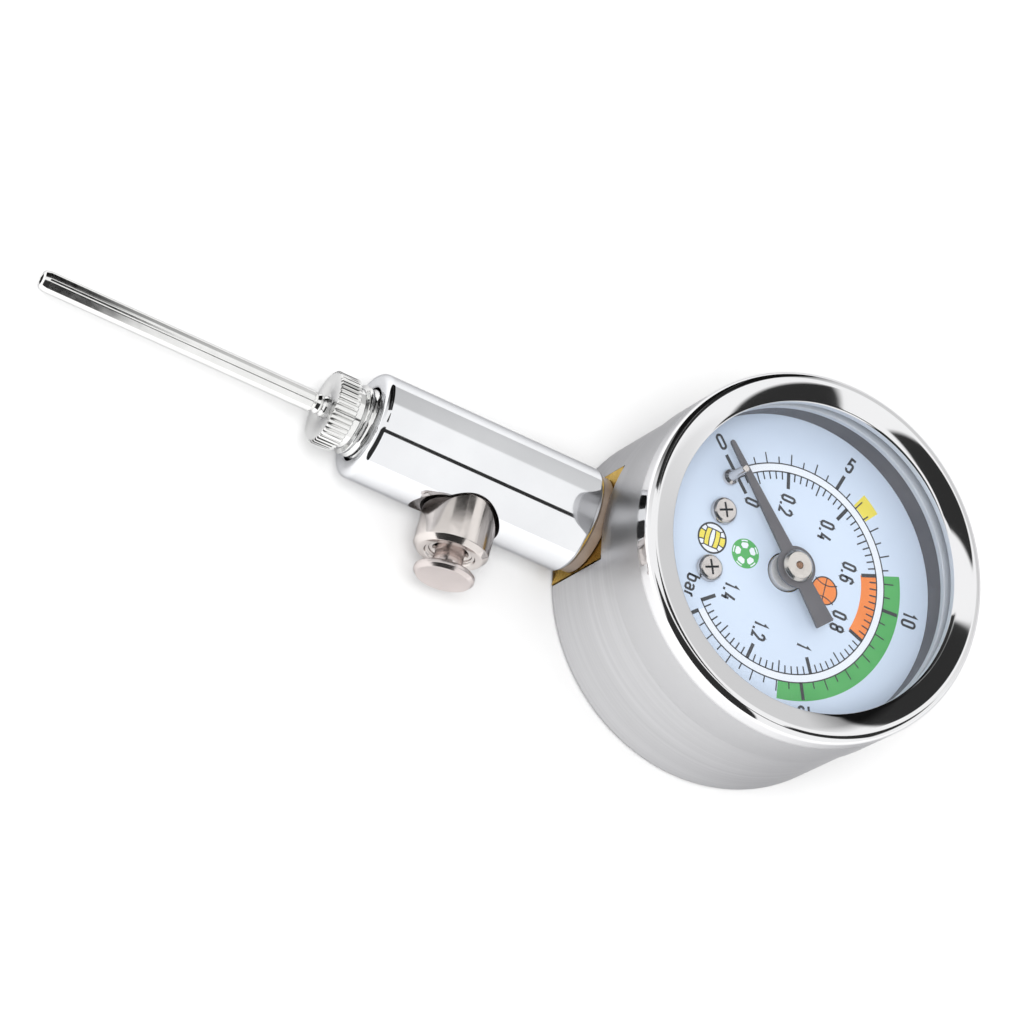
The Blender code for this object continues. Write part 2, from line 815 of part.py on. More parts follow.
def make_pinion():
    toward_sector = atan2(SECTOR_Y, SECTOR_X)
    arbor = turned(
        "pinion_arbor",
        BRASS,
        [
            (0, BUSH_TOP_Z - 0.0004),
            (ARBOR_R - 0.0001, BUSH_TOP_Z - 0.0004),
            (ARBOR_R - 0.0001, DIAL_Z + 0.0005),
            (ARBOR_R, DIAL_Z + 0.0003),
            (ARBOR_R, BOTTOM_PLATE_Z + 0.0001),
            (0, BOTTOM_PLATE_Z + 0.0001),
        ],
        facets=SMALL,
    )
    gear = teeth(0, 0, PINION_TEETH, toward_sector, PINION_TEETH)
    join(arbor, plate("pinion_teeth", None, [gear], SECTOR_Z - 0.0005, SECTOR_T + 0.0008))


def sector_outline():
    """Teeth that pass the pinion, a fan down to the hub, and the tail that the link pulls."""
    step = 2 * pi / SECTOR_TEETH
    toward_pinion = atan2(-SECTOR_Y, -SECTOR_X)
    last = toward_pinion + 1.5 * step
    count = 10
    first = last - (count - 1) * step
    fan = teeth(SECTOR_X, SECTOR_Y, SECTOR_TEETH, first, count)
    tail = tail_direction()
    hub_r, eye_r = 0.0012, 0.0008
    eye_x, eye_y = link_pivot()
    edge = fan + arc(SECTOR_X, SECTOR_Y, hub_r, last + radians(25), tail - radians(35), 4)
    edge += arc(eye_x, eye_y, eye_r, tail - pi / 2, tail + pi / 2, 7)
    edge += arc(SECTOR_X, SECTOR_Y, hub_r, tail + radians(35), first + 2 * pi - radians(25), 8)
    return edge


def tail_direction():
    """The tail stands square to the link in the middle of its stroke."""
    return pi - SECTOR_SWEEP / 2


def link_pivot():
    """The pin that joins the link to the sector's tail."""
    tail = tail_direction()
    return SECTOR_X + TAIL_R * cos(tail), SECTOR_Y + TAIL_R * sin(tail)


def make_sector():
    eye_x, eye_y = link_pivot()
    arbor = rod(
        "sector_gear",
        BRASS,
        ARBOR_R,
        BOTTOM_PLATE_Z + 0.0001,
        TOP_PLATE_Z + PLATE_T - 0.0001,
        (SECTOR_X, SECTOR_Y, 0),
        facets=SMALL,
    )
    fan = plate(
        "sector_fan", None, [sector_outline(), circle(eye_x, eye_y, PIN_R + GAP)], SECTOR_Z, SECTOR_T
    )
    join(arbor, fan)


def make_link():
    """The link from the sector's tail to the tube's tip, and its two pins."""
    near_x, near_y = link_pivot()
    far_x, far_y = near_x, near_y - LINK_LENGTH
    near_r, far_r = 0.0008, 0.0012
    edge = arc(near_x, near_y, near_r, 0, pi, 7) + arc(far_x, far_y, far_r, pi, 2 * pi, 7)
    holes = [circle(near_x, near_y, PIN_R + RUNNING), circle(far_x, far_y, OPEN_PIVOT_R)]
    plate("link", BRASS, [edge, *holes], LINK_Z, LINK_T)
    top = LINK_Z + LINK_T + 0.0002
    rod("link_pin_1", BRIGHT_STEEL, PIN_R, SECTOR_Z, top, (near_x, near_y, 0), facets=SMALL)
    rod("link_pin_2", BRIGHT_STEEL, PIN_R, SECTOR_Z, top, (far_x, far_y, 0), facets=SMALL)
    low = (far_x - 0.0014, far_y - 0.0022, 0.0024)
    tip = block("tube_tip", BRASS, low, (far_x + 0.0012, far_y + 0.0010, SECTOR_Z + 0.0006))
    cut(
        tip,
        place(tube_sector("tip_slot", GAP, TUBE_TIP + radians(12), TUBE_TIP - radians(1.0), 4), None),
        rod("tip_pin_hole", None, PIN_R + GAP, SECTOR_Z - 0.0003, 0.013, (far_x, far_y, 0), facets=SMALL),
    )


def make_bourdon_tube():
    tube = place(tube_sector("bourdon_tube", 0, TUBE_ROOT, TUBE_TIP, 30), PHOSPHOR_BRONZE)
    over = radians(1)
    cut(tube, place(tube_sector("tube_bore", -TUBE_WALL, TUBE_ROOT + over, TUBE_TIP - over, 30), None))


def make_hairspring():
    turns, per_turn, inner, outer, level = 4, 14, 0.0008, 0.0029, 0.01265
    count = turns * per_turn + 1
    points = []
    for i in range(count):
        angle = 2 * pi * i / per_turn
        radius = inner + (outer - inner) * i / (count - 1)
        points.append((radius * cos(angle), radius * sin(angle), level))
    wire("hairspring", PHOSPHOR_BRONZE, points, 0.00009, 1)
    rod(
        "hairspring_stud", BRASS, 0.0003, level + 0.0002, TOP_PLATE_Z - GAP, (outer, 0, 0), facets=SMALL
    )


clear_scene()
PARTS = make_collection(OBJECT_NAME)
CUTTERS = make_collection("cutters")

CHROME = make_material("chrome", (0.80, 0.81, 0.83), 0.06, 1)
STEEL = make_material("case_steel", (0.74, 0.75, 0.77), 0.22, 1)
BRIGHT_STEEL = make_material("bright_steel", (0.62, 0.62, 0.62), 0.3, 1)
NICKEL = make_material("nickel", (0.76, 0.70, 0.67), 0.14, 1)
BRIGHT_NICKEL = make_material("bright_nickel", (0.80, 0.80, 0.79), 0.12, 1)
BRASS = make_material("brass", (0.78, 0.57, 0.24), 0.28, 1)
PHOSPHOR_BRONZE = make_material("phosphor_bronze", (0.68, 0.43, 0.22), 0.3, 1)
WASHER_BROWN = make_material("washer_brown", (0.20, 0.15, 0.11), 0.45, 0)
DIAL_BLUE = make_material("dial_blue", (0.62, 0.72, 0.88), 0.5, 0)
POINTER_GREY = make_material("pointer_grey", (0.10, 0.10, 0.11), 0.45, 0)
DARK_GREY = make_material("spacer_grey", (0.16, 0.16, 0.17), 0.5, 0)
SEAL_GREY = make_material("seal_grey", (0.45, 0.48, 0.54), 0.5, 0)
RUBBER = make_material("black_rubber", (0.02, 0.02, 0.02), 0.6, 0)
GLASS = make_material("clear_glass", (0.92, 0.95, 1.0), 0.02, 0)

make_case()
make_bezel()
make_dial()
make_pointer()
make_stem_block()
make_body_tube()
make_needle()
make_valve()
make_movement()
make_pinion()
make_sector()
make_link()
make_bourdon_tube()
make_hairspring()
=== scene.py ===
"""Looks of the ball pressure gauge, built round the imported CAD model. Lengths in this file are millimetres."""

from math import atan2, ceil, cos, hypot, pi, radians, sin, tan

import bmesh
import bpy
from mathutils import Matrix, Vector


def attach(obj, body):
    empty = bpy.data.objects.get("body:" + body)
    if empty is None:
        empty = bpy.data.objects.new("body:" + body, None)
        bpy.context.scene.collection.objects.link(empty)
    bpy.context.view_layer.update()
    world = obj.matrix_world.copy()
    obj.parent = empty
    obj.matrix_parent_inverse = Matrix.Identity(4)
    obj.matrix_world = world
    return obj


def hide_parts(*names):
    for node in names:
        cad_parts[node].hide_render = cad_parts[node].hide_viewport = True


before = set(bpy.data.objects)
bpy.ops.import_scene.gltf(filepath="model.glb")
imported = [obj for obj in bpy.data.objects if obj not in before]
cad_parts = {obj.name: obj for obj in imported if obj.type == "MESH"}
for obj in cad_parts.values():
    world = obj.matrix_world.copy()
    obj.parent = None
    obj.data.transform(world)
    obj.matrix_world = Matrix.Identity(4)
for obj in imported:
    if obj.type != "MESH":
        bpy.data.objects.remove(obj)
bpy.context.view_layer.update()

MM = 0.001
FINE = 192  # facets of the case, bezel and body
MEDIUM = 96  # facets of the smaller turned pieces
SMOOTH_UNDER = radians(28)  # edges flatter than this are shaded smooth
WELD = 0.0005  # points of a slab's outline closer than this are one
EDGE_TINT = (0.45, 0.45, 0.46, 1)  # what a plated surface reflects at a flat angle
SLIVER = 0.0002  # edges shorter than this are left over from a cut

STEM_Z = 6.05  # axis of the body tube and the needle
CASE_R = 19.8
BODY_R = 5.8
VALVE_X = -33.2
LIP_R = 16.75  # inner edge of the bezel
DIAL_Z = 15.4

# Dial printing
ZERO = radians(44.3)  # zero mark, clockwise from the bottom of the dial
BAR_START = radians(36.83)  # where an even scale would have its zero
PER_BAR = radians(203.06)
PSI_PER_BAR = 14.504
INNER_R = 11.0  # base line of the bar scale
OUTER_R = 11.88  # base line of the psi scale
ZONE_R = 13.85  # outer edge of the green and yellow zones
HAIRLINE = 0.13  # lines of the volleyball sign

WORLD_LIGHT = 1.0


# Materials


def new_material(name):
    material = bpy.data.materials.new(name)
    material.use_nodes = True
    return material, material.node_tree, material.node_tree.nodes["Principled BSDF"]


def texture(tree, scale, detail=3.0, stretch=(1, 1, 1), distortion=0.0):
    """A noise texture in object space, stretched along the axes. scale is in cells per metre."""
    where = tree.nodes.new("ShaderNodeTexCoord")
    mapping = tree.nodes.new("ShaderNodeMapping")
    mapping.inputs["Scale"].default_value = stretch
    noise = tree.nodes.new("ShaderNodeTexNoise")
    noise.inputs["Scale"].default_value = scale
    noise.inputs["Detail"].default_value = detail
    noise.inputs["Distortion"].default_value = distortion
    tree.links.new(where.outputs["Object"], mapping.inputs["Vector"])
    tree.links.new(mapping.outputs["Vector"], noise.inputs["Vector"])
    return noise.outputs["Fac"]


def ramp(tree, source, *stops):
    """A colour ramp over a value. stops are (position, colour)."""
    node = tree.nodes.new("ShaderNodeValToRGB")
    elements = node.color_ramp.elements
    while len(elements) < len(stops):
        elements.new(0.5)
    for element, (position, colour) in zip(elements, stops):
        element.position = position
        element.color = (*colour, 1)
    tree.links.new(source, node.inputs["Fac"])
    return node.outputs["Color"]


def spread(tree, source, low, high, start=0.3, end=0.7):
    """A value mapped from its middle range to low and high."""
    node = tree.nodes.new("ShaderNodeMapRange")
    node.inputs["From Min"].default_value = start
    node.inputs["From Max"].default_value = end
    node.inputs["To Min"].default_value = low
    node.inputs["To Max"].default_value = high
    tree.links.new(source, node.inputs["Value"])
    return node.outputs["Result"]


def bump(tree, shader, source, distance, strength=1.0):
    node = tree.nodes.new("ShaderNodeBump")
    node.inputs["Distance"].default_value = distance * MM
    node.inputs["Strength"].default_value = strength
    tree.links.new(source, node.inputs["Height"])
    tree.links.new(node.outputs["Normal"], shader.inputs["Normal"])


def metal(name, dark, light, rough_low, rough_high, scale=300, stretch=(1, 1, 1), grain=0.0):
    """A metal with slight changes of colour and roughness, and a fine surface grain."""
    material, tree, shader = new_material(name)
    shader.inputs["Metallic"].default_value = 1.0
    shader.inputs["Specular Tint"].default_value = EDGE_TINT
    colour = ramp(tree, texture(tree, scale, 4.0, stretch), (0.3, dark), (0.7, light))
    tree.links.new(colour, shader.inputs["Base Color"])
    rough_noise = texture(tree, scale * 2.7, 5.0, stretch, 0.4)
    tree.links.new(spread(tree, rough_noise, rough_low, rough_high), shader.inputs["Roughness"])
    if grain:
        bump(tree, shader, texture(tree, scale * 9, 3.0, stretch), grain, 0.6)
    return material


def coating(name, dark, light, roughness, scale=250, grain=0.004, coat=0.0):
    """Paint, print, rubber or plastic."""
    material, tree, shader = new_material(name)
    noise = texture(tree, scale, 4.0)
    tree.links.new(ramp(tree, noise, (0.3, dark), (0.7, light)), shader.inputs["Base Color"])
    rough = texture(tree, scale * 3, 3.0)
    tree.links.new(
        spread(tree, rough, roughness - 0.05, roughness + 0.06), shader.inputs["Roughness"]
    )
    shader.inputs["Coat Weight"].default_value = coat
    if grain:
        bump(tree, shader, texture(tree, scale * 8, 2.0), grain, 0.5)
    return material


def clear_glass():
    """A clear window, which shows more of its surface at a flat angle."""
    material, tree, shader = new_material("window_glass")
    shader.inputs["Base Color"].default_value = (0.30, 0.34, 0.38, 1)
    shader.inputs["IOR"].default_value = 1.49
    facing = tree.nodes.new("ShaderNodeLayerWeight")
    facing.inputs["Blend"].default_value = 0.25
    tree.links.new(
        spread(tree, facing.outputs["Facing"], 0.035, 0.4, 0.1, 0.9), shader.inputs["Alpha"]
    )
    noise = texture(tree, 90, 2.0)
    tree.links.new(spread(tree, noise, 0.0, 0.03), shader.inputs["Roughness"])
    return material


def bezel_metal():
    """Polished on the rim, and turned satin on the skirt below it."""
    material, tree, shader = new_material("bezel_metal")
    shader.inputs["Metallic"].default_value = 1.0
    where = tree.nodes.new("ShaderNodeTexCoord")
    split = tree.nodes.new("ShaderNodeSeparateXYZ")
    tree.links.new(where.outputs["Object"], split.inputs[0])
    height = spread(tree, split.outputs["Z"], 0.0, 1.0, 19.6 * MM, 20.1 * MM)
    rough = spread(tree, height, 0.3, 0.02, 0, 1)
    lines = texture(tree, 90, 3.0, (0.3, 0.3, 22))
    grain = tree.nodes.new("ShaderNodeMath")
    grain.operation = "MULTIPLY_ADD"
    grain.inputs[1].default_value = 0.06
    tree.links.new(lines, grain.inputs[0])
    tree.links.new(rough, grain.inputs[2])
    tree.links.new(grain.outputs[0], shader.inputs["Roughness"])
    shader.inputs["Specular Tint"].default_value = EDGE_TINT
    colour = ramp(tree, height, (0.0, (0.60, 0.60, 0.61)), (1.0, (0.88, 0.88, 0.89)))
    tree.links.new(colour, shader.inputs["Base Color"])
    bump(tree, shader, lines, 0.0016, 0.6)
    return material


# Meshes


def rounded(points, closed):
    """Outline points (x, y, fillet) with each filleted corner replaced by an arc."""
    made = []
    count = len(points)
    for i, point in enumerate(points):
        x, y = point[:2]
        fillet = point[2] if len(point) > 2 else 0
        if not fillet or (not closed and i in (0, count - 1)):
            made.append((x, y))
            continue
        ax, ay = points[i - 1][:2]
        bx, by = points[(i + 1) % count][:2]
        to_a, to_b = Vector((ax - x, ay - y)), Vector((bx - x, by - y))
        free = [0.5 if len(n) > 2 else 0.95 for n in (points[i - 1], points[(i + 1) % count])]
        reach = min(to_a.length * free[0], to_b.length * free[1])
        to_a.normalize()
        to_b.normalize()
        half = to_a.angle(to_b) / 2
        if half > pi / 2 - 0.02:
            made.append((x, y))
            continue
        back = min(fillet / tan(half), reach)
        radius = back * tan(half)
        middle = Vector((x, y)) + (to_a + to_b).normalized() * (radius / sin(half))
        start = Vector((x, y)) + to_a * back - middle
        end = Vector((x, y)) + to_b * back - middle
        turn = atan2(start.x * end.y - start.y * end.x, start.dot(end))
        steps = max(2, ceil(abs(turn) / radians(12)))
        for k in range(steps + 1):
            angle = turn * k / steps
            made.append(
                (
                    middle.x + start.x * cos(angle) - start.y * sin(angle),
                    middle.y + start.x * sin(angle) + start.y * cos(angle),
                )
            )
    return made


AXES = {
    "X": Matrix.Rotation(pi / 2, 4, "Y"),
    "Y": Matrix.Rotation(-pi / 2, 4, "X"),
    "Z": Matrix.Identity(4),
}


def mesh_object(name, vertices, faces, smooth=True):
    """An object from vertices in millimetres, with smooth faces and sharp edges by angle."""
    mesh = bpy.data.meshes.new(name)
    mesh.from_pydata([[c * MM for c in v] for v in vertices], [], faces)
    obj = bpy.data.objects.new(name, mesh)
    bpy.context.scene.collection.objects.link(obj)
    if smooth:
        soften(obj)
    return obj


def soften(obj):
    """Turns all faces outwards, and shades smooth all but the sharp edges."""
    shape = bmesh.new()
    shape.from_mesh(obj.data)
    bmesh.ops.recalc_face_normals(shape, faces=shape.faces)
    shape.to_mesh(obj.data)
    shape.free()
    obj.data.shade_smooth()
    obj.data.set_sharp_from_angle(angle=SMOOTH_UNDER)


def lathe(name, outline, at=(0, 0, 0), axis="Z", facets=MEDIUM, ripple=None):
    """A turned piece. outline holds (radius, height, fillet), from axis to axis or round a closed section.

    ripple gives what to add to the radius at an angle, radius and height.
    """
    closed = outline[0][0] > 0 or outline[-1][0] > 0
    section = rounded(outline, closed)
    matrix = Matrix.Translation(at) @ AXES[axis]
    vertices, rings = [], []
    for radius, height in section:
        if radius < 0.0001:
            rings.append([len(vertices)] * facets)
            vertices.append(matrix @ Vector((0, 0, height)))
            continue
        rings.append(range(len(vertices), len(vertices) + facets))
        for k in range(facets):
            angle = 2 * pi * k / facets
            r = radius + (ripple(angle, radius, height) if ripple else 0)
            vertices.append(matrix @ Vector((r * cos(angle), r * sin(angle), height)))
    faces = []
    pairs = list(zip(rings, rings[1:] + rings[:1] if closed else rings[1:]))
    for a, b in pairs:
        for k in range(facets):
            n = (k + 1) % facets
            face = []
            for v in (a[k], a[n], b[n], b[k]):
                if v not in face:
                    face.append(v)
            if len(face) > 2:
                faces.append(face)
    return mesh_object(name, vertices, faces)


def slab(name, outline, low, high, holes=(), bevel=0.0):
    """A flat piece with vertical sides from a closed outline, with holes, its edges softened by a bevel."""
    curve = bpy.data.curves.new(name, "CURVE")
    curve.dimensions = "2D"
    curve.fill_mode = "BOTH"
    curve.extrude = (high - low) / 2 * MM
    for ring in (outline, *holes):
        spline = curve.splines.new("POLY")
        spline.points.add(len(ring) - 1)
        for point, (x, y) in zip(spline.points, ring):
            point.co = (x * MM, y * MM, 0, 1)
        spline.use_cyclic_u = True
    temp = bpy.data.objects.new(name, curve)
    bpy.context.scene.collection.objects.link(temp)
    bpy.context.view_layer.update()
    graph = bpy.context.evaluated_depsgraph_get()
    mesh = bpy.data.meshes.new_from_object(temp.evaluated_get(graph))
    bpy.data.objects.remove(temp)
    mesh.transform(Matrix.Translation((0, 0, (low + high) / 2 * MM)))
    shape = bmesh.new()
    shape.from_mesh(mesh)
    bmesh.ops.remove_doubles(shape, verts=shape.verts, dist=WELD * MM)
    bmesh.ops.dissolve_limit(shape, angle_limit=radians(0.5), verts=shape.verts, edges=shape.edges)
    shape.to_mesh(mesh)
    shape.free()
    obj = bpy.data.objects.new(name, mesh)
    bpy.context.scene.collection.objects.link(obj)
    if bevel:
        add_bevel(obj, bevel)
    soften(obj)
    return obj


def add_bevel(obj, width):
    modifier = obj.modifiers.new("Bevel", "BEVEL")
    modifier.width = width * MM
    modifier.segments = 3
    modifier.limit_method = "ANGLE"
    modifier.angle_limit = radians(40)
    modifier.harden_normals = True


def cut(obj, *cutters, inside=None):
    """Cuts shapes out of a piece and removes the cutters. inside is the material of the cut faces."""
    obj.data.materials.append(None)
    for cutter in cutters:
        cutter.data.materials.append(inside)
        modifier = obj.modifiers.new(cutter.name, "BOOLEAN")
        modifier.operation = "DIFFERENCE"
        modifier.solver = "EXACT"
        modifier.material_mode = "TRANSFER"
        modifier.object = cutter
    bpy.context.view_layer.update()
    graph = bpy.context.evaluated_depsgraph_get()
    mesh = bpy.data.meshes.new_from_object(obj.evaluated_get(graph))
    work = bmesh.new()
    work.from_mesh(mesh)
    bmesh.ops.remove_doubles(work, verts=work.verts, dist=SLIVER * MM)
    bmesh.ops.dissolve_degenerate(work, dist=SLIVER * MM, edges=work.edges)
    work.to_mesh(mesh)
    work.free()
    obj.modifiers.clear()
    obj.data = mesh
    for cutter in cutters:
        bpy.data.objects.remove(cutter)
    soften(obj)


def box_object(name, low, high):
    (ax, ay, az), (bx, by, bz) = low, high
    vertices = [(x, y, z) for x in (ax, bx) for y in (ay, by) for z in (az, bz)]
    faces = [(0, 1, 3, 2), (4, 6, 7, 5), (0, 4, 5, 1), (2, 3, 7, 6), (0, 2, 6, 4), (1, 5, 7, 3)]
    return mesh_object(name, vertices, faces)


def finish_piece(obj, material, body, slot, *replaced):
    """Gives a piece its material, the CAD body that it rides on, and the CAD nodes that it stands for."""
    if obj.data.materials:
        obj.data.materials[0] = material
    else:
        obj.data.materials.append(material)
    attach(obj, body)
    if replaced:
        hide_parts(*replaced)


# Dial printing


class Print:
    """Flat printed shapes of one colour, collected into one mesh that lies on the dial."""

    def __init__(self, height):
        self.z = DIAL_Z + height
        self.vertices = []
        self.faces = []

    def polygon(self, points):
        start = len(self.vertices)
        self.vertices += [(x, y, self.z) for x, y in points]
        self.faces.append(range(start, start + len(points)))

    def band(self, near, far):
        """Quads between two lines of points."""
        start = len(self.vertices)
        for a, b in zip(near, far):
            self.vertices += [(*a, self.z), (*b, self.z)]
        for i in range(start, start + 2 * len(near) - 2, 2):
            self.faces.append((i, i + 1, i + 3, i + 2))

    def arc(self, centre, inner, outer, start, end, step=1.5):
        steps = max(2, ceil(abs(end - start) / radians(step)))
        angles = [start + (end - start) * i / steps for i in range(steps + 1)]
        lines = [[around(centre, radius, angle) for angle in angles] for radius in (inner, outer)]
        self.band(*lines)

    def disc(self, centre, radius):
        self.polygon([around(centre, radius, 2 * pi * i / 64) for i in range(64)])

    def stroke(self, points, width, closed=False):
        """A line of even width with mitred corners."""
        near, far = [], []
        count = len(points)
        for i, (x, y) in enumerate(points):
            ahead = points[(i + 1) % count] if closed or i < count - 1 else None
            behind = points[i - 1] if closed or i > 0 else None
            d1 = Vector((x - behind[0], y - behind[1])).normalized() if behind else None
            d2 = Vector((ahead[0] - x, ahead[1] - y)).normalized() if ahead else d1
            d1 = d1 or d2
            mean = (d1 + d2).normalized()
            reach = width / 2 / max(0.4, mean.dot(d2))
            near.append((x - mean.y * reach, y + mean.x * reach))
            far.append((x + mean.y * reach, y - mean.x * reach))
        if closed:
            near.append(near[0])
            far.append(far[0])
        self.band(near, far)

    def make(self, name, material):
        obj = mesh_object(name, self.vertices, self.faces, smooth=False)
        for polygon in obj.data.polygons:
            if polygon.normal.z < 0:
                polygon.flip()
        finish_piece(obj, material, "gauge", "dial_blue")


def around(centre, radius, clockwise):
    """A point at a radius, at an angle clockwise from the bottom of the dial."""
    return centre[0] - radius * cos(clockwise), centre[1] + radius * sin(clockwise)


def line(*points, radius=0.0, closed=False):
    return rounded([(x, y, radius) for x, y in points], closed)


def glyph(character, width, height):
    """Centre lines of a character as (points, closed) in a box of that size."""
    w, h = width, height
    r = w / 2
    x = h * 0.66  # height of small letters
    strokes = {
        "0": [(line((0, 0), (w, 0), (w, h), (0, h), radius=r, closed=True), True)],
        "1": [(line((0.1 * w, 0.77 * h), (0.62 * w, h), (0.62 * w, 0)), False)],
        "2": [
            (rounded([(0, 0.72 * h), (0, h, r), (w, h, r), (w, 0.6 * h, r), (0, 0), (w, 0)], False), False),
        ],
        "4": [
            (line((0.5 * w, h), (0, 0.24 * h), (1.05 * w, 0.24 * h)), False),
            (line((0.74 * w, 0.5 * h), (0.74 * w, -0.08 * h)), False),
        ],
        "5": [
            (
                rounded(
                    [
                        (0.95 * w, h),
                        (0.06 * w, h),
                        (0.02 * w, 0.55 * h),
                        (0.25 * w, 0.62 * h, 0.2),
                        (w, 0.62 * h, r),
                        (w, 0, r),
                        (0, 0, r),
                        (0, 0.2 * h),
                    ],
                    False,
                ),
                False,
            )
        ],
        "6": [
            (line((0, 0), (w, 0), (w, 0.56 * h), (0, 0.56 * h), radius=r, closed=True), True),
            (rounded([(0, 0.3 * h), (0, h, r), (w, h, r), (w, 0.8 * h)], False), False),
        ],
        "8": [
            (line((0, 0), (w, 0), (w, 0.53 * h), (0, 0.53 * h), radius=r, closed=True), True),
            (line((0, 0.53 * h), (w, 0.53 * h), (w, h), (0, h), radius=r, closed=True), True),
        ],
        "b": [
            (line((0, h), (0, 0)), False),
            (line((0, 0), (w, 0), (w, x), (0, x), radius=r * 0.8, closed=True), True),
        ],
        "a": [
            (rounded([(w, 0), (w, x, r), (0, x, r), (0, 0.8 * x)], False), False),
            (rounded([(w, 0.56 * x), (0, 0.56 * x, r), (0, 0, r), (w, 0)], False), False),
        ],
        "r": [
            (line((0, 0), (0, x)), False),
            (rounded([(0, 0.6 * x), (0, x, r), (0.8 * w, x)], False), False),
        ],
    }
    return strokes[character]


def write(ink, text, centre, height, width, stroke, up=(1, 0), gap=0.2):
    """Writes a short text centred on a point of the dial, with the tops of its characters towards up."""
    right = (up[1], -up[0])
    sizes = {".": stroke, "1": width * 0.7, "r": width * 0.75}
    widths = [sizes.get(c, width) for c in text]
    pen = -(sum(widths) + gap * (len(text) - 1)) / 2
    for character, full in zip(text, widths):
        base_x, base_y = pen + stroke / 2, -height / 2 + stroke / 2
        if character == ".":
            strokes = [([(0, -stroke / 2), (0, stroke / 2)], False)]
        else:
            strokes = glyph(character, full - stroke, height - stroke)
        for points, closed in strokes:
            placed = []
            for x, y in points:
                across, along = base_x + x, base_y + y
                placed.append(
                    (
                        centre[0] + right[0] * across + up[0] * along,
                        centre[1] + right[1] * across + up[1] * along,
                    )
                )
            ink.stroke(placed, stroke, closed)
        pen += full + gap


def bar_angle(bar):
    return BAR_START + PER_BAR * bar


def psi_angle(psi):
    return bar_angle(psi / PSI_PER_BAR)


def tick(ink, inner, outer, angle, width):
    ink.stroke([around((0, 0), inner, angle), around((0, 0), outer, angle)], width)


def print_scales(ink, band):
    """The bar scale inside and the psi scale outside a pale band, both from the same zero."""
    end_bar, end_psi = bar_angle(1.4), psi_angle(20)
    band.arc((0, 0), INNER_R, OUTER_R, ZERO, end_psi)
    ink.arc((0, 0), INNER_R - 0.07, INNER_R + 0.07, ZERO - 0.008, end_bar + 0.008)
    ink.arc((0, 0), OUTER_R - 0.07, OUTER_R + 0.07, ZERO - 0.008, end_psi + 0.008)
    for step in range(3, 70):
        if step % 10 == 0:
            continue
        length = 1.3 if step % 5 == 0 else 0.87
        tick(ink, INNER_R - length, INNER_R, bar_angle(step * 0.02), 0.16)
    for major in range(1, 8):
        tick(ink, INNER_R - 1.8, INNER_R + 0.07, bar_angle(major * 0.2), 0.4)
    tick(ink, INNER_R - 1.8, INNER_R + 0.07, ZERO, 0.4)
    tick(ink, OUTER_R - 0.07, OUTER_R + 1.85, ZERO, 0.4)
    for step in range(2, 40):
        if step % 10 == 0:
            continue
        length = 1.2 if step % 2 == 0 else 0.75
        tick(ink, OUTER_R, OUTER_R + length, psi_angle(step * 0.5), 0.15)
    for major in (5, 10, 15, 20):
        tick(ink, OUTER_R - 0.07, OUTER_R + 1.85, psi_angle(major), 0.4)


def print_numerals(ink):
    places = {
        "0": (-5.65, 5.8),
        "0.2": (-1.7, 7.2),
        "0.4": (3.4, 6.33),
        "0.6": (7.0, 2.93),
        "0.8": (7.2, -2.7),
        "1": (3.95, -6.97),
        "1.2": (-1.33, -7.4),
        "1.4": (-5.65, -4.72),
    }
    for text, centre in places.items():
        write(ink, text, centre, 1.78, 0.8, 0.27)
    for text, angle in (
        ("0", radians(45)),
        ("5", psi_angle(5)),
        ("10", psi_angle(10)),
        ("15", psi_angle(15)),
        ("20", psi_angle(20)),
    ):
        outward = (-cos(angle), sin(angle))
        write(ink, text, around((0, 0), 15.2, angle), 1.85, 0.88, 0.28, outward)
    write(ink, "bar", (-10.0, -5.93), 1.68, 0.84, 0.25, gap=0.18)


def print_basketball(fill, ink, centre, radius):
    fill.disc(centre, radius)
    ink.arc(centre, radius - 0.13, radius + 0.02, 0, 2 * pi, 6)
    ink.stroke([(centre[0], centre[1] + radius), (centre[0], centre[1] - radius)], 0.12)
    for side in (-1, 1):
        points = []
        for i in range(13):
            across = -0.86 + 1.72 * i / 12
            bend = side * (0.42 + 0.38 * across * across) * radius
            points.append((centre[0] + across * radius, centre[1] + bend))
        ink.stroke(points, 0.12)


def print_football(green, white, centre, radius):
    """A plain ball sign: a pentagon in the middle, five patches round it and five slits at the rim."""
    green.disc(centre, radius)
    for i in range(5):
        angle = 2 * pi * i / 5
        middle = around(centre, radius * 0.56, angle)
        out = Vector((-cos(angle), sin(angle)))
        side = Vector((out.y, -out.x))
        patch = []
        for along, across in (
            (-0.20, 0.15),
            (-0.20, -0.15),
            (0.02, -0.28),
            (0.18, -0.20),
            (0.18, 0.20),
            (0.02, 0.28),
        ):
            spot = Vector(middle) + (out * along + side * across) * radius
            patch.append((spot.x, spot.y, 0.1))
        white.polygon(rounded(patch, True))
        white.arc(centre, radius * 0.84, radius * 0.92, angle - 0.26, angle + 0.26, 5)


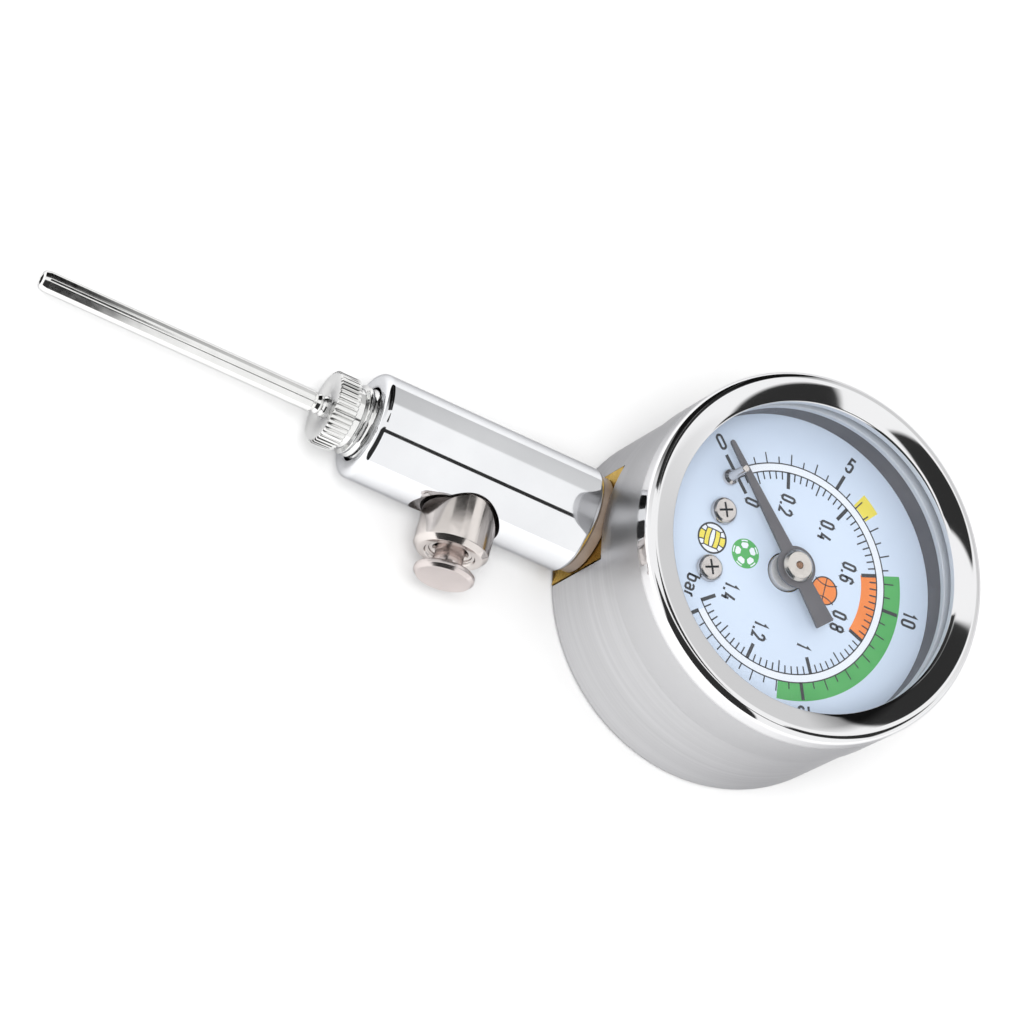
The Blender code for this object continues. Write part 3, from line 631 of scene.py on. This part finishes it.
def print_volleyball(yellow, white, ink, centre, radius):
    """A plain ball sign: bands across the middle, a cap at each end and panels at the sides."""

    def at(across, along):
        return centre[0] + along * radius, centre[1] - across * radius

    white.disc(centre, radius)
    edge = 0.56
    for side in (-1, 1):
        near, far = [], []
        for i in range(9):
            across = -edge + 2 * edge * i / 8
            bulge = 0.06 * (1 - (across / edge) ** 2)
            near.append(at(across, side * (0.12 + bulge)))
            far.append(at(across, side * (0.46 + bulge)))
        yellow.band(near, far)
        ink.stroke(near, HAIRLINE)
        ink.stroke(far, HAIRLINE)
        cap = [at(-0.26, side * 0.52), at(0.26, side * 0.52), at(0.32, side * 0.9), at(-0.32, side * 0.9)]
        yellow.polygon(cap)
        for way in (-1, 1):
            ink.stroke([at(way * 0.26, side * 0.5), at(way * 0.33, side * 0.9)], HAIRLINE)
            ink.stroke([at(way * edge, side * 0.46), at(way * 0.7, side * 0.66)], HAIRLINE)
    for way in (-1, 1):
        points = [at(way * (edge + 0.03 * (1 - (i / 3) ** 2)), 0.48 * i / 3) for i in range(-3, 4)]
        ink.stroke(points, HAIRLINE)
    ink.arc(centre, radius - 0.17, radius + 0.03, 0, 2 * pi, 6)


def make_print():
    band, zones_green, zones_yellow, zones_orange = (Print(0.006) for _ in range(4))
    white = Print(0.008)
    patches, patches_yellow = Print(0.011), Print(0.011)
    ink = Print(0.016)
    print_scales(ink, band)
    zones_green.arc((0, 0), OUTER_R, ZONE_R, bar_angle(0.6), bar_angle(1.1))
    zones_yellow.arc((0, 0), 12.0, ZONE_R, bar_angle(0.405), bar_angle(0.455))
    zones_orange.arc((0, 0), 9.1, INNER_R, bar_angle(0.6), bar_angle(0.8))
    print_numerals(ink)
    print_basketball(zones_orange, ink, (4.8, -0.1), 1.57)
    print_football(zones_green, patches, (-5.0, 0.05), 1.62)
    print_volleyball(patches_yellow, white, ink, (-9.1, 0.1), 1.7)
    band.make("scale_band", PRINT_WHITE)
    zones_green.make("green_zone", PRINT_GREEN)
    zones_yellow.make("yellow_zone", PRINT_YELLOW)
    zones_orange.make("orange_zone", PRINT_ORANGE)
    white.make("white_print", PRINT_WHITE)
    patches.make("white_patches", PRINT_WHITE)
    patches_yellow.make("yellow_panels", PRINT_YELLOW)
    ink.make("dark_print", PRINT_INK)


# Pieces


def cross_recess(name, size, depth, top, at):
    """Cutter for a Phillips recess, as two crossed tapered bars."""
    bars = []
    for turn in (0, pi / 2):
        half, width = size, size * 0.14
        vertices = []
        for z, shrink in ((top + 0.3, 1.1), (top - depth, 0.7)):
            for x, y in ((-half, -width), (half, -width), (half, width), (-half, width)):
                x, y = x * shrink, y * (0.5 + shrink / 2)
                a = turn + 0.42
                vertices.append((at[0] + x * cos(a) - y * sin(a), at[1] + x * sin(a) + y * cos(a), z))
        faces = [(3, 2, 1, 0), (4, 5, 6, 7)]
        faces += [(i, (i + 1) % 4, (i + 1) % 4 + 4, i + 4) for i in range(4)]
        bars.append(mesh_object(f"{name}_{len(bars)}", vertices, faces))
    return bars


def make_dial_screws():
    for number, side in ((1, 1), (2, -1)):
        at = (-8.7, side * 3.35, DIAL_Z)
        head = lathe(
            f"dial_screw_head_{number}",
            [(0, 0.9), (1.15, 0.87), (1.42, 0.66, 0.3), (1.42, 0.03, 0.08), (0, 0.03)],
            at,
        )
        # the recess faces take a near-black metal, which is painted shade
        cut(head, *cross_recess("recess", 0.85, 0.5, DIAL_Z + 0.85, at), inside=RECESS_PAINTED_SHADE)
        finish_piece(head, SCREW_NICKEL, "gauge", "nickel", f"dial_screw_{number}")


def make_case_screws():
    for number, side in ((1, -1), (2, 1)):
        at = (-10.0, side * 3.4, 0)
        outline = [(0, 0.55), (0.75, 0.55), (1.27, 0.06, 0.05), (0, 0.05)]
        head = lathe(f"case_screw_head_{number}", outline, at)
        bars = cross_recess("recess", 0.75, 0.5, 0, (at[0], -at[1], 0))
        for bar in bars:
            bar.data.transform(Matrix.Rotation(pi, 4, "X"))
        # the recess faces take a near-black metal, which is painted shade
        cut(head, *bars, inside=RECESS_PAINTED_SHADE)
        finish_piece(head, STEEL_SCREW, "gauge", "bright_steel", f"case_screw_{number}")


def make_case():
    cup = lathe(
        "case_shell",
        [
            (0, 0.6),
            (19.2, 0.6),
            (19.2, 13.3),
            (18.75, 13.9),
            (18.75, 19.1),
            (19.35, 19.1),
            (19.35, 13.9),
            (CASE_R, 13.88, 0.12),
            (CASE_R, 0, 0.9),
            (0, 0),
        ],
        facets=FINE,
    )
    opening = box_object("opening", (-21, -5.55, 0.65), (-16, 5.55, 11.6))
    hole = [(0, 1), (0.9, 1), (0.9, 0.45), (1.45, -0.1), (0, -0.1)]
    holes = [lathe("screw_hole", hole, (-10, y, 0), facets=48) for y in (-3.4, 3.4)]
    cut(cup, opening, *holes)
    true_round(cup, "Z", (0, 0, 0), CASE_R)
    finish_piece(cup, CASE_STEEL, "gauge", "case_steel", "case_cup")


def true_round(obj, axis, at, radius):
    """Sets exact normals on the corners that lie on a cylinder, which a cut had flattened."""
    mesh = obj.data
    inverse = AXES[axis].inverted() @ Matrix.Translation([-c * MM for c in at])
    turn = AXES[axis].to_3x3()
    normals = [corner.vector.copy() for corner in mesh.corner_normals]
    for polygon in mesh.polygons:
        local = inverse.to_3x3() @ polygon.normal
        if abs(local.z) > 0.02:  # not a face of the cylinder
            continue
        for index in polygon.loop_indices:
            spot = inverse @ mesh.vertices[mesh.loops[index].vertex_index].co
            distance = hypot(spot.x, spot.y)
            if abs(distance - radius * MM) > 0.012 * MM:
                continue
            outward = Vector((spot.x, spot.y, 0)) / distance
            if outward.dot(local) > 0.98:
                normals[index] = turn @ outward
    mesh.normals_split_custom_set(normals)


def make_bezel():
    """The bezel, whose face is a shallow arc, steeper at the lip than at the crest, and what is under it."""
    crest_r, arc_r, arc_z = 19.0, 16.35, 21.5
    face = []
    for i in range(1, 13):
        reach = LIP_R + (crest_r - LIP_R) * i / 12
        outward = reach - arc_r
        face.append((reach, arc_z + outward * tan(radians(19.5 - 1.89 * outward))))
    ring = lathe(
        "bezel",
        [
            (LIP_R, 20.85, 0.05),
            (LIP_R, 21.6, 0.1),
            *face,
            (20.0, 22.2, 0.95),
            (20.0, 13.96, 0.1),
            (19.42, 13.96),
            (19.42, 20.85),
        ],
        facets=FINE,
    )
    ring.data.materials.append(None)
    ring.data.materials.append(TRIM_GREY)
    for polygon in ring.data.polygons:
        spot = polygon.center
        reach = hypot(spot.x, spot.y)
        if (spot.z < 20.9 * MM and reach < 19.5 * MM) or reach < (LIP_R + 0.01) * MM:
            polygon.material_index = 1
    finish_piece(ring, BEZEL_METAL, "gauge", "chrome", "bezel_ring")
    window = lathe("window", [(0, 20.8), (19.25, 20.8, 0.1), (19.25, 19.2, 0.1), (0, 19.2)])
    window.data.materials.append(None)
    window.data.materials.append(TRIM_GREY)
    for polygon in window.data.polygons:
        if abs(polygon.normal.z) < 0.1:
            polygon.material_index = 1
    finish_piece(window, GLASS, "gauge", "clear_glass", "lens")
    gasket = lathe(
        "window_gasket",
        [(17.0, 19.13, 0.15), (17.0, 18.32, 0.15), (18.65, 18.32), (18.65, 19.13)],
        facets=FINE,
    )
    finish_piece(gasket, SEAL_GREY, "gauge", "seal_grey", "lens_gasket")
    # the spacer ring is near black as painted shade for the wall under the gasket
    spacer = lathe(
        "dial_spacer",
        [(17.25, 18.22, 0.1), (17.25, 15.45), (18.65, 15.45), (18.65, 18.22)],
        facets=FINE,
    )
    finish_piece(spacer, SPACER_PAINTED_SHADE, "gauge", "spacer_grey", "spacer_ring")


def make_dial():
    dial = lathe(
        "dial_face",
        [(2.15, DIAL_Z, 0.03), (18.6, DIAL_Z, 0.03), (18.6, 15.0), (2.15, 15.0)],
        facets=FINE,
    )
    finish_piece(dial, DIAL_PRINT, "gauge", "dial_blue", "dial_plate")
    boss = lathe(
        "dial_boss",
        [(0.6, 15.9, 0.03), (2.0, 15.9, 0.07), (2.0, 15.2), (1.92, 15.2), (1.92, 15.82), (0.6, 15.82)],
    )
    finish_piece(boss, BOSS_GREY, "gauge", "nickel")
    pin = lathe(
        "pointer_stop",
        [
            (0, 19.0),
            (0.42, 19.0, 0.12),
            (0.5, 16.15, 0.15),
            (0.85, 15.85, 0.18),
            (0.85, 15.43, 0.05),
            (0.4, 15.42),
            (0.4, 14.75),
            (0, 14.75),
        ],
        (-8.85, 7.3, 0),
    )
    finish_piece(pin, NICKEL, "gauge", "nickel", "stop_pin")


def pointer_edge():
    """The pointer's outline along +X: a round hub, a tapered blade and a squared tail."""
    hub_r, blade, tip, tail, tail_end = 2.25, 0.78, 0.26, 0.95, 1.12
    first, last = atan2(blade, hub_r), pi - atan2(tail, hub_r)
    half = [(14.8, 0), (14.74, tip * 0.55), (14.55, tip)]
    for i in range(25):
        angle = first + (last - first) * i / 24
        half.append((hub_r * cos(angle), hub_r * sin(angle)))
    half += [(-6.6, tail_end), (-6.7, tail_end - 0.1)]
    return half + [(x, -y) for x, y in reversed(half[1:])]


def make_pointer():
    direction = pi - ZERO
    turned = [
        (x * cos(direction) - y * sin(direction), x * sin(direction) + y * cos(direction))
        for x, y in pointer_edge()
    ]
    hole = [(0.6 * cos(2 * pi * i / 32), 0.6 * sin(2 * pi * i / 32)) for i in range(32)]
    hand = slab("pointer_hand", turned, 17.4, 17.7, [hole], bevel=0.05)
    finish_piece(hand, POINTER_PAINT, "pointer_set", "pointer_grey", "pointer")
    cap = lathe(
        "pointer_cap",
        [
            (0.42, 18.33),
            (0.42, 18.38, 0.02),
            (1.44, 18.4, 0.1),
            (1.74, 18.12, 0.08),
            (1.74, 17.73, 0.05),
            (0.56, 17.73),
            (0.56, 17.38),
            (1.0, 17.38, 0.05),
            (0.9, 16.02, 0.05),
            (0.42, 16.02),
        ],
    )
    finish_piece(cap, CAP_NICKEL, "pointer_set", "nickel", "pointer_bush")
    rivet = lathe(
        "pointer_rivet",
        [(0, 18.32), (0.1, 18.33), (0.2, 18.4, 0.05), (0.38, 18.36, 0.05), (0.38, 17.9), (0, 17.9)],
    )
    finish_piece(rivet, COPPER, "pointer_set", "brass")


def make_body():
    body = lathe(
        "body",
        [
            (BODY_R, -20.35, 0.6),
            (BODY_R, -46.4, 0.75),
            (4.05, -46.4, 0.25),
            (4.0, -40.4),
            (1.2, -40.4),
            (1.2, -28.3),
            (4.95, -28.3),
            (4.95, -20.35),
        ],
        (0, 0, STEM_Z),
        "X",
        FINE,
    )
    at = (VALVE_X, 0, STEM_Z)
    bore = lathe("bore", [(0, 1.4), (3.0, 1.4), (3.0, -8), (0, -8)], at, "Y", 64)
    spot = lathe("spot", [(0, -3.9), (4.3, -3.9), (4.3, -8), (0, -8)], at, "Y", FINE)
    notch = lathe("notch", [(0, -4.8), (3.2, -4.8), (3.2, -8), (0, -8)], (-35.6, 0, STEM_Z), "Y", MEDIUM)
    cut(body, bore, spot, notch, inside=CUT_STEEL)
    true_round(body, "X", (0, 0, STEM_Z), BODY_R)
    finish_piece(body, CHROME, "gauge", "chrome", "body_tube")
    washer = lathe(
        "stem_seal",
        [(5.0, -19.15, 0.1), (5.0, -20.3, 0.1), (5.35, -20.3, 0.15), (5.35, -19.15, 0.15)],
        (0, 0, STEM_Z),
        "X",
        FINE,
    )
    finish_piece(washer, SEAL_BROWN, "gauge", "washer_brown", "seal_washer")


def make_needle():
    at = (0, 0, STEM_Z)
    teeth = 44

    def knurl(angle, radius, height):
        """Narrow straight grooves across the rim of the hub."""
        if radius < 3.55:
            return 0
        phase = (angle * teeth / (2 * pi)) % 1
        return -0.24 * max(0.0, 1 - abs(phase - 0.5) / 0.26)

    rim = lathe(
        "needle_knob",
        [
            (3.1, -48.42),
            (3.85, -48.43),
            (4.0, -48.55),
            (4.0, -50.76),
            (3.88, -50.88),
            (3.5, -50.9),
            (2.0, -50.9),
            (1.5, -50.75, 0.1),
            (1.17, -50.75),
            (1.17, -48.42),
        ],
        at,
        "X",
        teeth * 10,
        ripple=knurl,
    )
    finish_piece(rim, HUB_NICKEL, "needle", "bright_nickel", "needle_hub")

    pitch, depth = 0.794, 0.26
    start, end, steps = 41.7, 47.5, 90

    def thread(angle, radius, height):
        """A helical groove in the stretch of the shank that is cut with the thread."""
        if radius < 3.8 or not -47.45 < height < -41.6:
            return 0
        phase = (height / pitch + angle / (2 * pi)) % 1
        return -depth * (0.5 - 0.5 * cos(2 * pi * phase))

    profile = [(1.17, -41.5), (3.5, -41.5)]
    profile += [(3.85, -start - (end - start) * i / steps) for i in range(steps + 1)]
    profile += [(3.45, -47.62), (3.35, -47.68), (3.35, -48.5), (1.17, -48.5)]
    screw = lathe("needle_thread", profile, at, "X", 72, ripple=thread)
    finish_piece(screw, HUB_NICKEL, "needle", "bright_nickel")

    outline = [
        (1.15, -48.0),
        (1.15, -51.0, 0.05),
        (0.94, -51.25, 0.08),
        (1.13, -51.6, 0.1),
        (0.94, -51.95, 0.08),
        (1.15, -52.35, 0.15),
        (1.15, -82.9, 0.5),
        (0.98, -83.45, 0.15),
        (0.72, -83.6, 0.08),
        (0.5, -83.55, 0.05),
        (0.5, -83.0),
        (0.75, -82.8),
        (0.75, -48.0),
    ]
    tube = lathe("needle_pipe", outline, at, "X", MEDIUM)
    finish_piece(tube, HUB_NICKEL, "needle", "bright_nickel", "needle_tube")


def make_valve():
    at = (VALVE_X, 0, STEM_Z)
    housing = lathe(
        "valve_body",
        [
            (2.0, -1.2),
            (2.9, -1.2, 0.1),
            (2.9, -4.0),
            (4.0, -4.0, 0.1),
            (4.0, -9.0, 0.15),
            (3.5, -9.6, 0.15),
            (2.75, -9.6, 0.1),
            (2.6, -9.3, 0.1),
            (2.3, -9.3, 0.08),
            (2.3, -5.0),
            (1.1, -5.0),
            (1.1, -3.0),
            (2.0, -3.0),
        ],
        at,
        "Y",
        MEDIUM,
    )
    finish_piece(housing, NICKEL, "gauge", "nickel", "valve_housing")
    guide = lathe(
        "valve_guide",
        [(1.66, -8.75, 0.15), (1.95, -9.15, 0.1), (2.28, -9.15), (2.28, -8.2), (1.66, -8.2)],
        at,
        "Y",
        MEDIUM,
    )
    finish_piece(guide, NICKEL, "gauge", "nickel")
    button = lathe(
        "bleed_button",
        [
            (0, -1.0),
            (0.6, -1.0),
            (0.6, -2.95),
            (1.0, -2.95),
            (1.0, -8.0),
            (1.55, -8.0, 0.05),
            (1.55, -11.2, 0.35),
            (2.6, -11.48, 0.3),
            (3.1, -11.5, 0.12),
            (3.25, -11.66, 0.1),
            (3.25, -12.02, 0.12),
            (2.92, -12.4, 0.08),
            (2.75, -12.38),
            (0, -12.38),
        ],
        at,
        "Y",
        MEDIUM,
    )
    finish_piece(button, BUTTON_NICKEL, "button", "nickel", "valve_button")


# Stage


def make_world():
    """A white studio with a few dark gaps between its lights, which the chrome picks up.

    The world is 1 in all directions for every ray but a mirrored one. For that, x, y and z are where it goes.
    """
    world = bpy.data.worlds.new("studio")
    bpy.context.scene.world = world
    world.use_nodes = True
    tree = world.node_tree
    background = tree.nodes["Background"]
    where = tree.nodes.new("ShaderNodeTexCoord").outputs["Generated"]

    def math(operation, *values, clamp=False):
        node = tree.nodes.new("ShaderNodeMath")
        node.operation = operation
        node.use_clamp = clamp
        for socket, value in zip(node.inputs, values):
            if isinstance(value, (int, float)):
                socket.default_value = value
            else:
                tree.links.new(value, socket)
        return node.outputs[0]

    def edge(value, low, high):
        """0 at low and 1 at high, whichever is larger."""
        return math("DIVIDE", math("SUBTRACT", value, low), high - low, clamp=True)

    def all_of(first, *others):
        for other in others:
            first = math("MULTIPLY", first, other)
        return first

    split = tree.nodes.new("ShaderNodeSeparateXYZ")
    tree.links.new(where, split.inputs[0])
    x, y, z = split.outputs
    lean = tree.nodes.new("ShaderNodeVectorMath")
    lean.operation = "DOT_PRODUCT"
    lean.inputs[1].default_value = Vector((0, 0.945, 0.326)).normalized()
    tree.links.new(where, lean.inputs[0])
    across = math("ABSOLUTE", lean.outputs["Value"])
    slant = math("SUBTRACT", y, math("MULTIPLY", x, 1.25))
    darks = [
        all_of(
            edge(x, 0.41, 0.43),
            edge(x, 0.9, 0.84),
            edge(y, 0.16, 0.13),
            edge(y, -0.35, -0.3),
            edge(z, 0.2, 0.25),
        ),
        all_of(edge(x, 0.27, 0.25), edge(y, -0.04, -0.02), edge(slant, 0.2, 0.17), edge(y, 0.32, 0.3)),
        all_of(edge(x, 0.245, 0.225), edge(x, -0.12, -0.08), edge(y, 0.405, 0.42)),
        all_of(edge(x, -0.08, -0.12), edge(x, -0.65, -0.6), edge(y, 0.385, 0.395)),
        all_of(edge(x, 0.245, 0.225), edge(x, -0.8, -0.75), edge(y, -0.2, -0.23)),
        all_of(edge(across, 0.066, 0.056), edge(x, 0.1, 0.14), edge(z, 0.5, 0.6)),
    ]
    dark = darks[0]  # 1 where any of the gaps is
    for item in darks[1:]:
        dark = math("MAXIMUM", dark, item)
    path = tree.nodes.new("ShaderNodeLightPath").outputs
    first_mirror = math("LESS_THAN", path["Glossy Depth"], 1.5)
    dark = math("MULTIPLY", dark, math("MAXIMUM", first_mirror, edge(x, -0.34, -0.4)))
    wall = all_of(edge(y, 0.1, 0.5), edge(z, 0.72, 0.66))
    grey = math("MULTIPLY", wall, 0.3)
    fading = math("MULTIPLY", all_of(wall, edge(y, 0.45, 0.6), edge(x, 0.335, 0.22)), 0.7)
    mirrored = all_of(
        math("SUBTRACT", 1.0, grey),
        math("SUBTRACT", 1.0, fading),
        math("SUBTRACT", 1.0, math("MULTIPLY", dark, 0.97)),
    )
    change = math("MULTIPLY", math("SUBTRACT", mirrored, WORLD_LIGHT), path["Is Glossy Ray"])
    tree.links.new(math("ADD", change, WORLD_LIGHT), background.inputs["Strength"])
    background.inputs["Color"].default_value = (1, 1, 1, 1)


def make_light():
    """A large soft light above, which the chrome doesn't mirror."""
    data = bpy.data.lights.new("key", "AREA")
    data.shape = "DISK"
    data.size = 0.6
    data.energy = 6
    light = bpy.data.objects.new("key", data)
    bpy.context.scene.collection.objects.link(light)
    light.location = (-0.3, -0.35, 0.95)
    light.rotation_mode = "QUATERNION"
    light.rotation_quaternion = Vector(light.location).to_track_quat("Z", "Y")
    light.visible_camera = False
    light.visible_glossy = False


def make_stage():
    half, top = 4000, -0.02
    vertices = [(-half, -half, top), (half, -half, top), (half, half, top), (-half, half, top)]
    floor = mesh_object("floor", vertices, [(0, 1, 2, 3)], smooth=False)
    material, tree, shader = new_material("floor")
    tree.links.new(
        ramp(tree, texture(tree, 3, 2.0), (0.3, (0.85, 0.85, 0.85)), (0.7, (0.87, 0.87, 0.87))),
        shader.inputs["Base Color"],
    )
    shader.inputs["Roughness"].default_value = 0.9
    shader.inputs["Specular IOR Level"].default_value = 0.1
    floor.data.materials.append(material)


def make_camera():
    """A long lens, above the dial and to the left of the case."""
    data = bpy.data.cameras.new("camera")
    data.lens = 200
    data.sensor_width = 36
    data.clip_start, data.clip_end = 0.01, 50
    camera = bpy.data.objects.new("camera", data)
    bpy.context.scene.collection.objects.link(camera)
    right = Vector((0.85759, 0.23576, 0.45712)).normalized()
    back = Vector((-0.33919, -0.40887, 0.84722)).normalized()
    up = back.cross(right)
    columns = Matrix((right, up, back)).transposed()
    camera.matrix_world = Matrix.Translation((-0.22811, -0.24371, 0.50661)) @ columns.to_4x4()
    bpy.context.scene.camera = camera


BEZEL_METAL = bezel_metal()
CHROME = metal("chrome", (0.86, 0.87, 0.89), (0.92, 0.93, 0.95), 0.03, 0.07, 150)
CASE_STEEL = metal("case_steel", (0.58, 0.58, 0.59), (0.65, 0.65, 0.66), 0.28, 0.36, 90, (0.3, 0.3, 22))
CUT_STEEL = metal("cut_steel", (0.24, 0.23, 0.23), (0.50, 0.48, 0.48), 0.3, 0.45, 260)
# painted shade: a near-black metal for the faces of the screw recesses, standing for the shade inside them
RECESS_PAINTED_SHADE = metal("recess_shade", (0.10, 0.09, 0.09), (0.16, 0.15, 0.14), 0.4, 0.5, 900)
TRIM_GREY = coating("trim_grey", (0.50, 0.54, 0.60), (0.56, 0.60, 0.66), 0.4, 200)
BOSS_GREY = coating("boss_grey", (0.50, 0.50, 0.51), (0.60, 0.60, 0.61), 0.3, 300)
SCREW_NICKEL = metal("screw_nickel", (0.70, 0.66, 0.64), (0.80, 0.76, 0.73), 0.14, 0.24, 500)
NICKEL = metal("nickel", (0.74, 0.69, 0.66), (0.82, 0.77, 0.74), 0.1, 0.2, 300)
BUTTON_NICKEL = metal("button_nickel", (0.70, 0.64, 0.62), (0.78, 0.71, 0.69), 0.14, 0.26, 300)
CAP_NICKEL = metal("cap_nickel", (0.80, 0.75, 0.70), (0.86, 0.82, 0.78), 0.18, 0.28, 700)
HUB_NICKEL = metal("hub_nickel", (0.84, 0.84, 0.83), (0.92, 0.92, 0.91), 0.06, 0.12, 300)
STEEL_SCREW = metal("screw_steel", (0.55, 0.55, 0.56), (0.66, 0.66, 0.67), 0.2, 0.35, 400)
BRASS = metal("brass", (0.56, 0.34, 0.07), (0.80, 0.56, 0.18), 0.2, 0.36, 300, (1, 1, 1), 0.003)
COPPER = metal("copper_rivet", (0.55, 0.30, 0.18), (0.68, 0.42, 0.28), 0.25, 0.4, 500)
BRONZE = metal("phosphor_bronze", (0.60, 0.38, 0.18), (0.70, 0.46, 0.25), 0.22, 0.35, 200)
SEAL_BROWN = coating("seal_brown", (0.20, 0.15, 0.115), (0.27, 0.21, 0.165), 0.42, 300, coat=0.2)
SEAL_GREY = coating("seal_grey", (0.52, 0.55, 0.60), (0.58, 0.61, 0.66), 0.4, 200)
# painted shade: the spacer ring is near black, standing for the shaded wall between the dial and the gasket
SPACER_PAINTED_SHADE = coating("spacer_grey", (0.085, 0.08, 0.085), (0.115, 0.105, 0.11), 0.45, 200)
RUBBER = coating("black_rubber", (0.015, 0.015, 0.015), (0.03, 0.03, 0.03), 0.6, 300)
POINTER_PAINT = coating("pointer_paint", (0.105, 0.10, 0.11), (0.125, 0.12, 0.13), 0.4, 400, 0.003)
DIAL_PRINT = coating("dial_print", (0.62, 0.72, 0.87), (0.64, 0.74, 0.885), 0.42, 120, 0.001)
PRINT_INK = coating("print_ink", (0.045, 0.045, 0.05), (0.06, 0.06, 0.065), 0.5, 400, 0.001)
PRINT_WHITE = coating("print_white", (0.80, 0.85, 0.92), (0.84, 0.88, 0.95), 0.5, 200, 0.001)
PRINT_GREEN = coating("print_green", (0.08, 0.40, 0.105), (0.10, 0.44, 0.125), 0.45, 300, 0.001)
PRINT_YELLOW = coating("print_yellow", (0.80, 0.68, 0.08), (0.86, 0.74, 0.11), 0.45, 300, 0.001)
PRINT_ORANGE = coating("print_orange", (0.84, 0.235, 0.05), (0.91, 0.28, 0.07), 0.45, 300, 0.001)
GLASS = clear_glass()

make_camera()
make_case()
make_bezel()
make_dial()
make_print()
make_dial_screws()
make_case_screws()
make_pointer()
make_body()
make_needle()
make_valve()

NODE_LOOKS = {
    "stem_block": BRASS,
    "needle_washer": RUBBER,
    "valve_o_ring": RUBBER,
    "valve_retainer": STEEL_SCREW,
    "valve_spring": STEEL_SCREW,
    "movement_screw_1": STEEL_SCREW,
    "movement_screw_2": STEEL_SCREW,
    "link_pin_1": STEEL_SCREW,
    "link_pin_2": STEEL_SCREW,
    "hairspring": BRONZE,
    "bourdon_tube": BRONZE,
}
for name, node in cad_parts.items():
    node.data.materials.clear()
    node.data.materials.append(NODE_LOOKS.get(name, BRASS))
add_bevel(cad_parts["stem_block"], 0.18)

make_world()
make_stage()
make_light()
bpy.context.scene.view_settings.view_transform = "Standard"
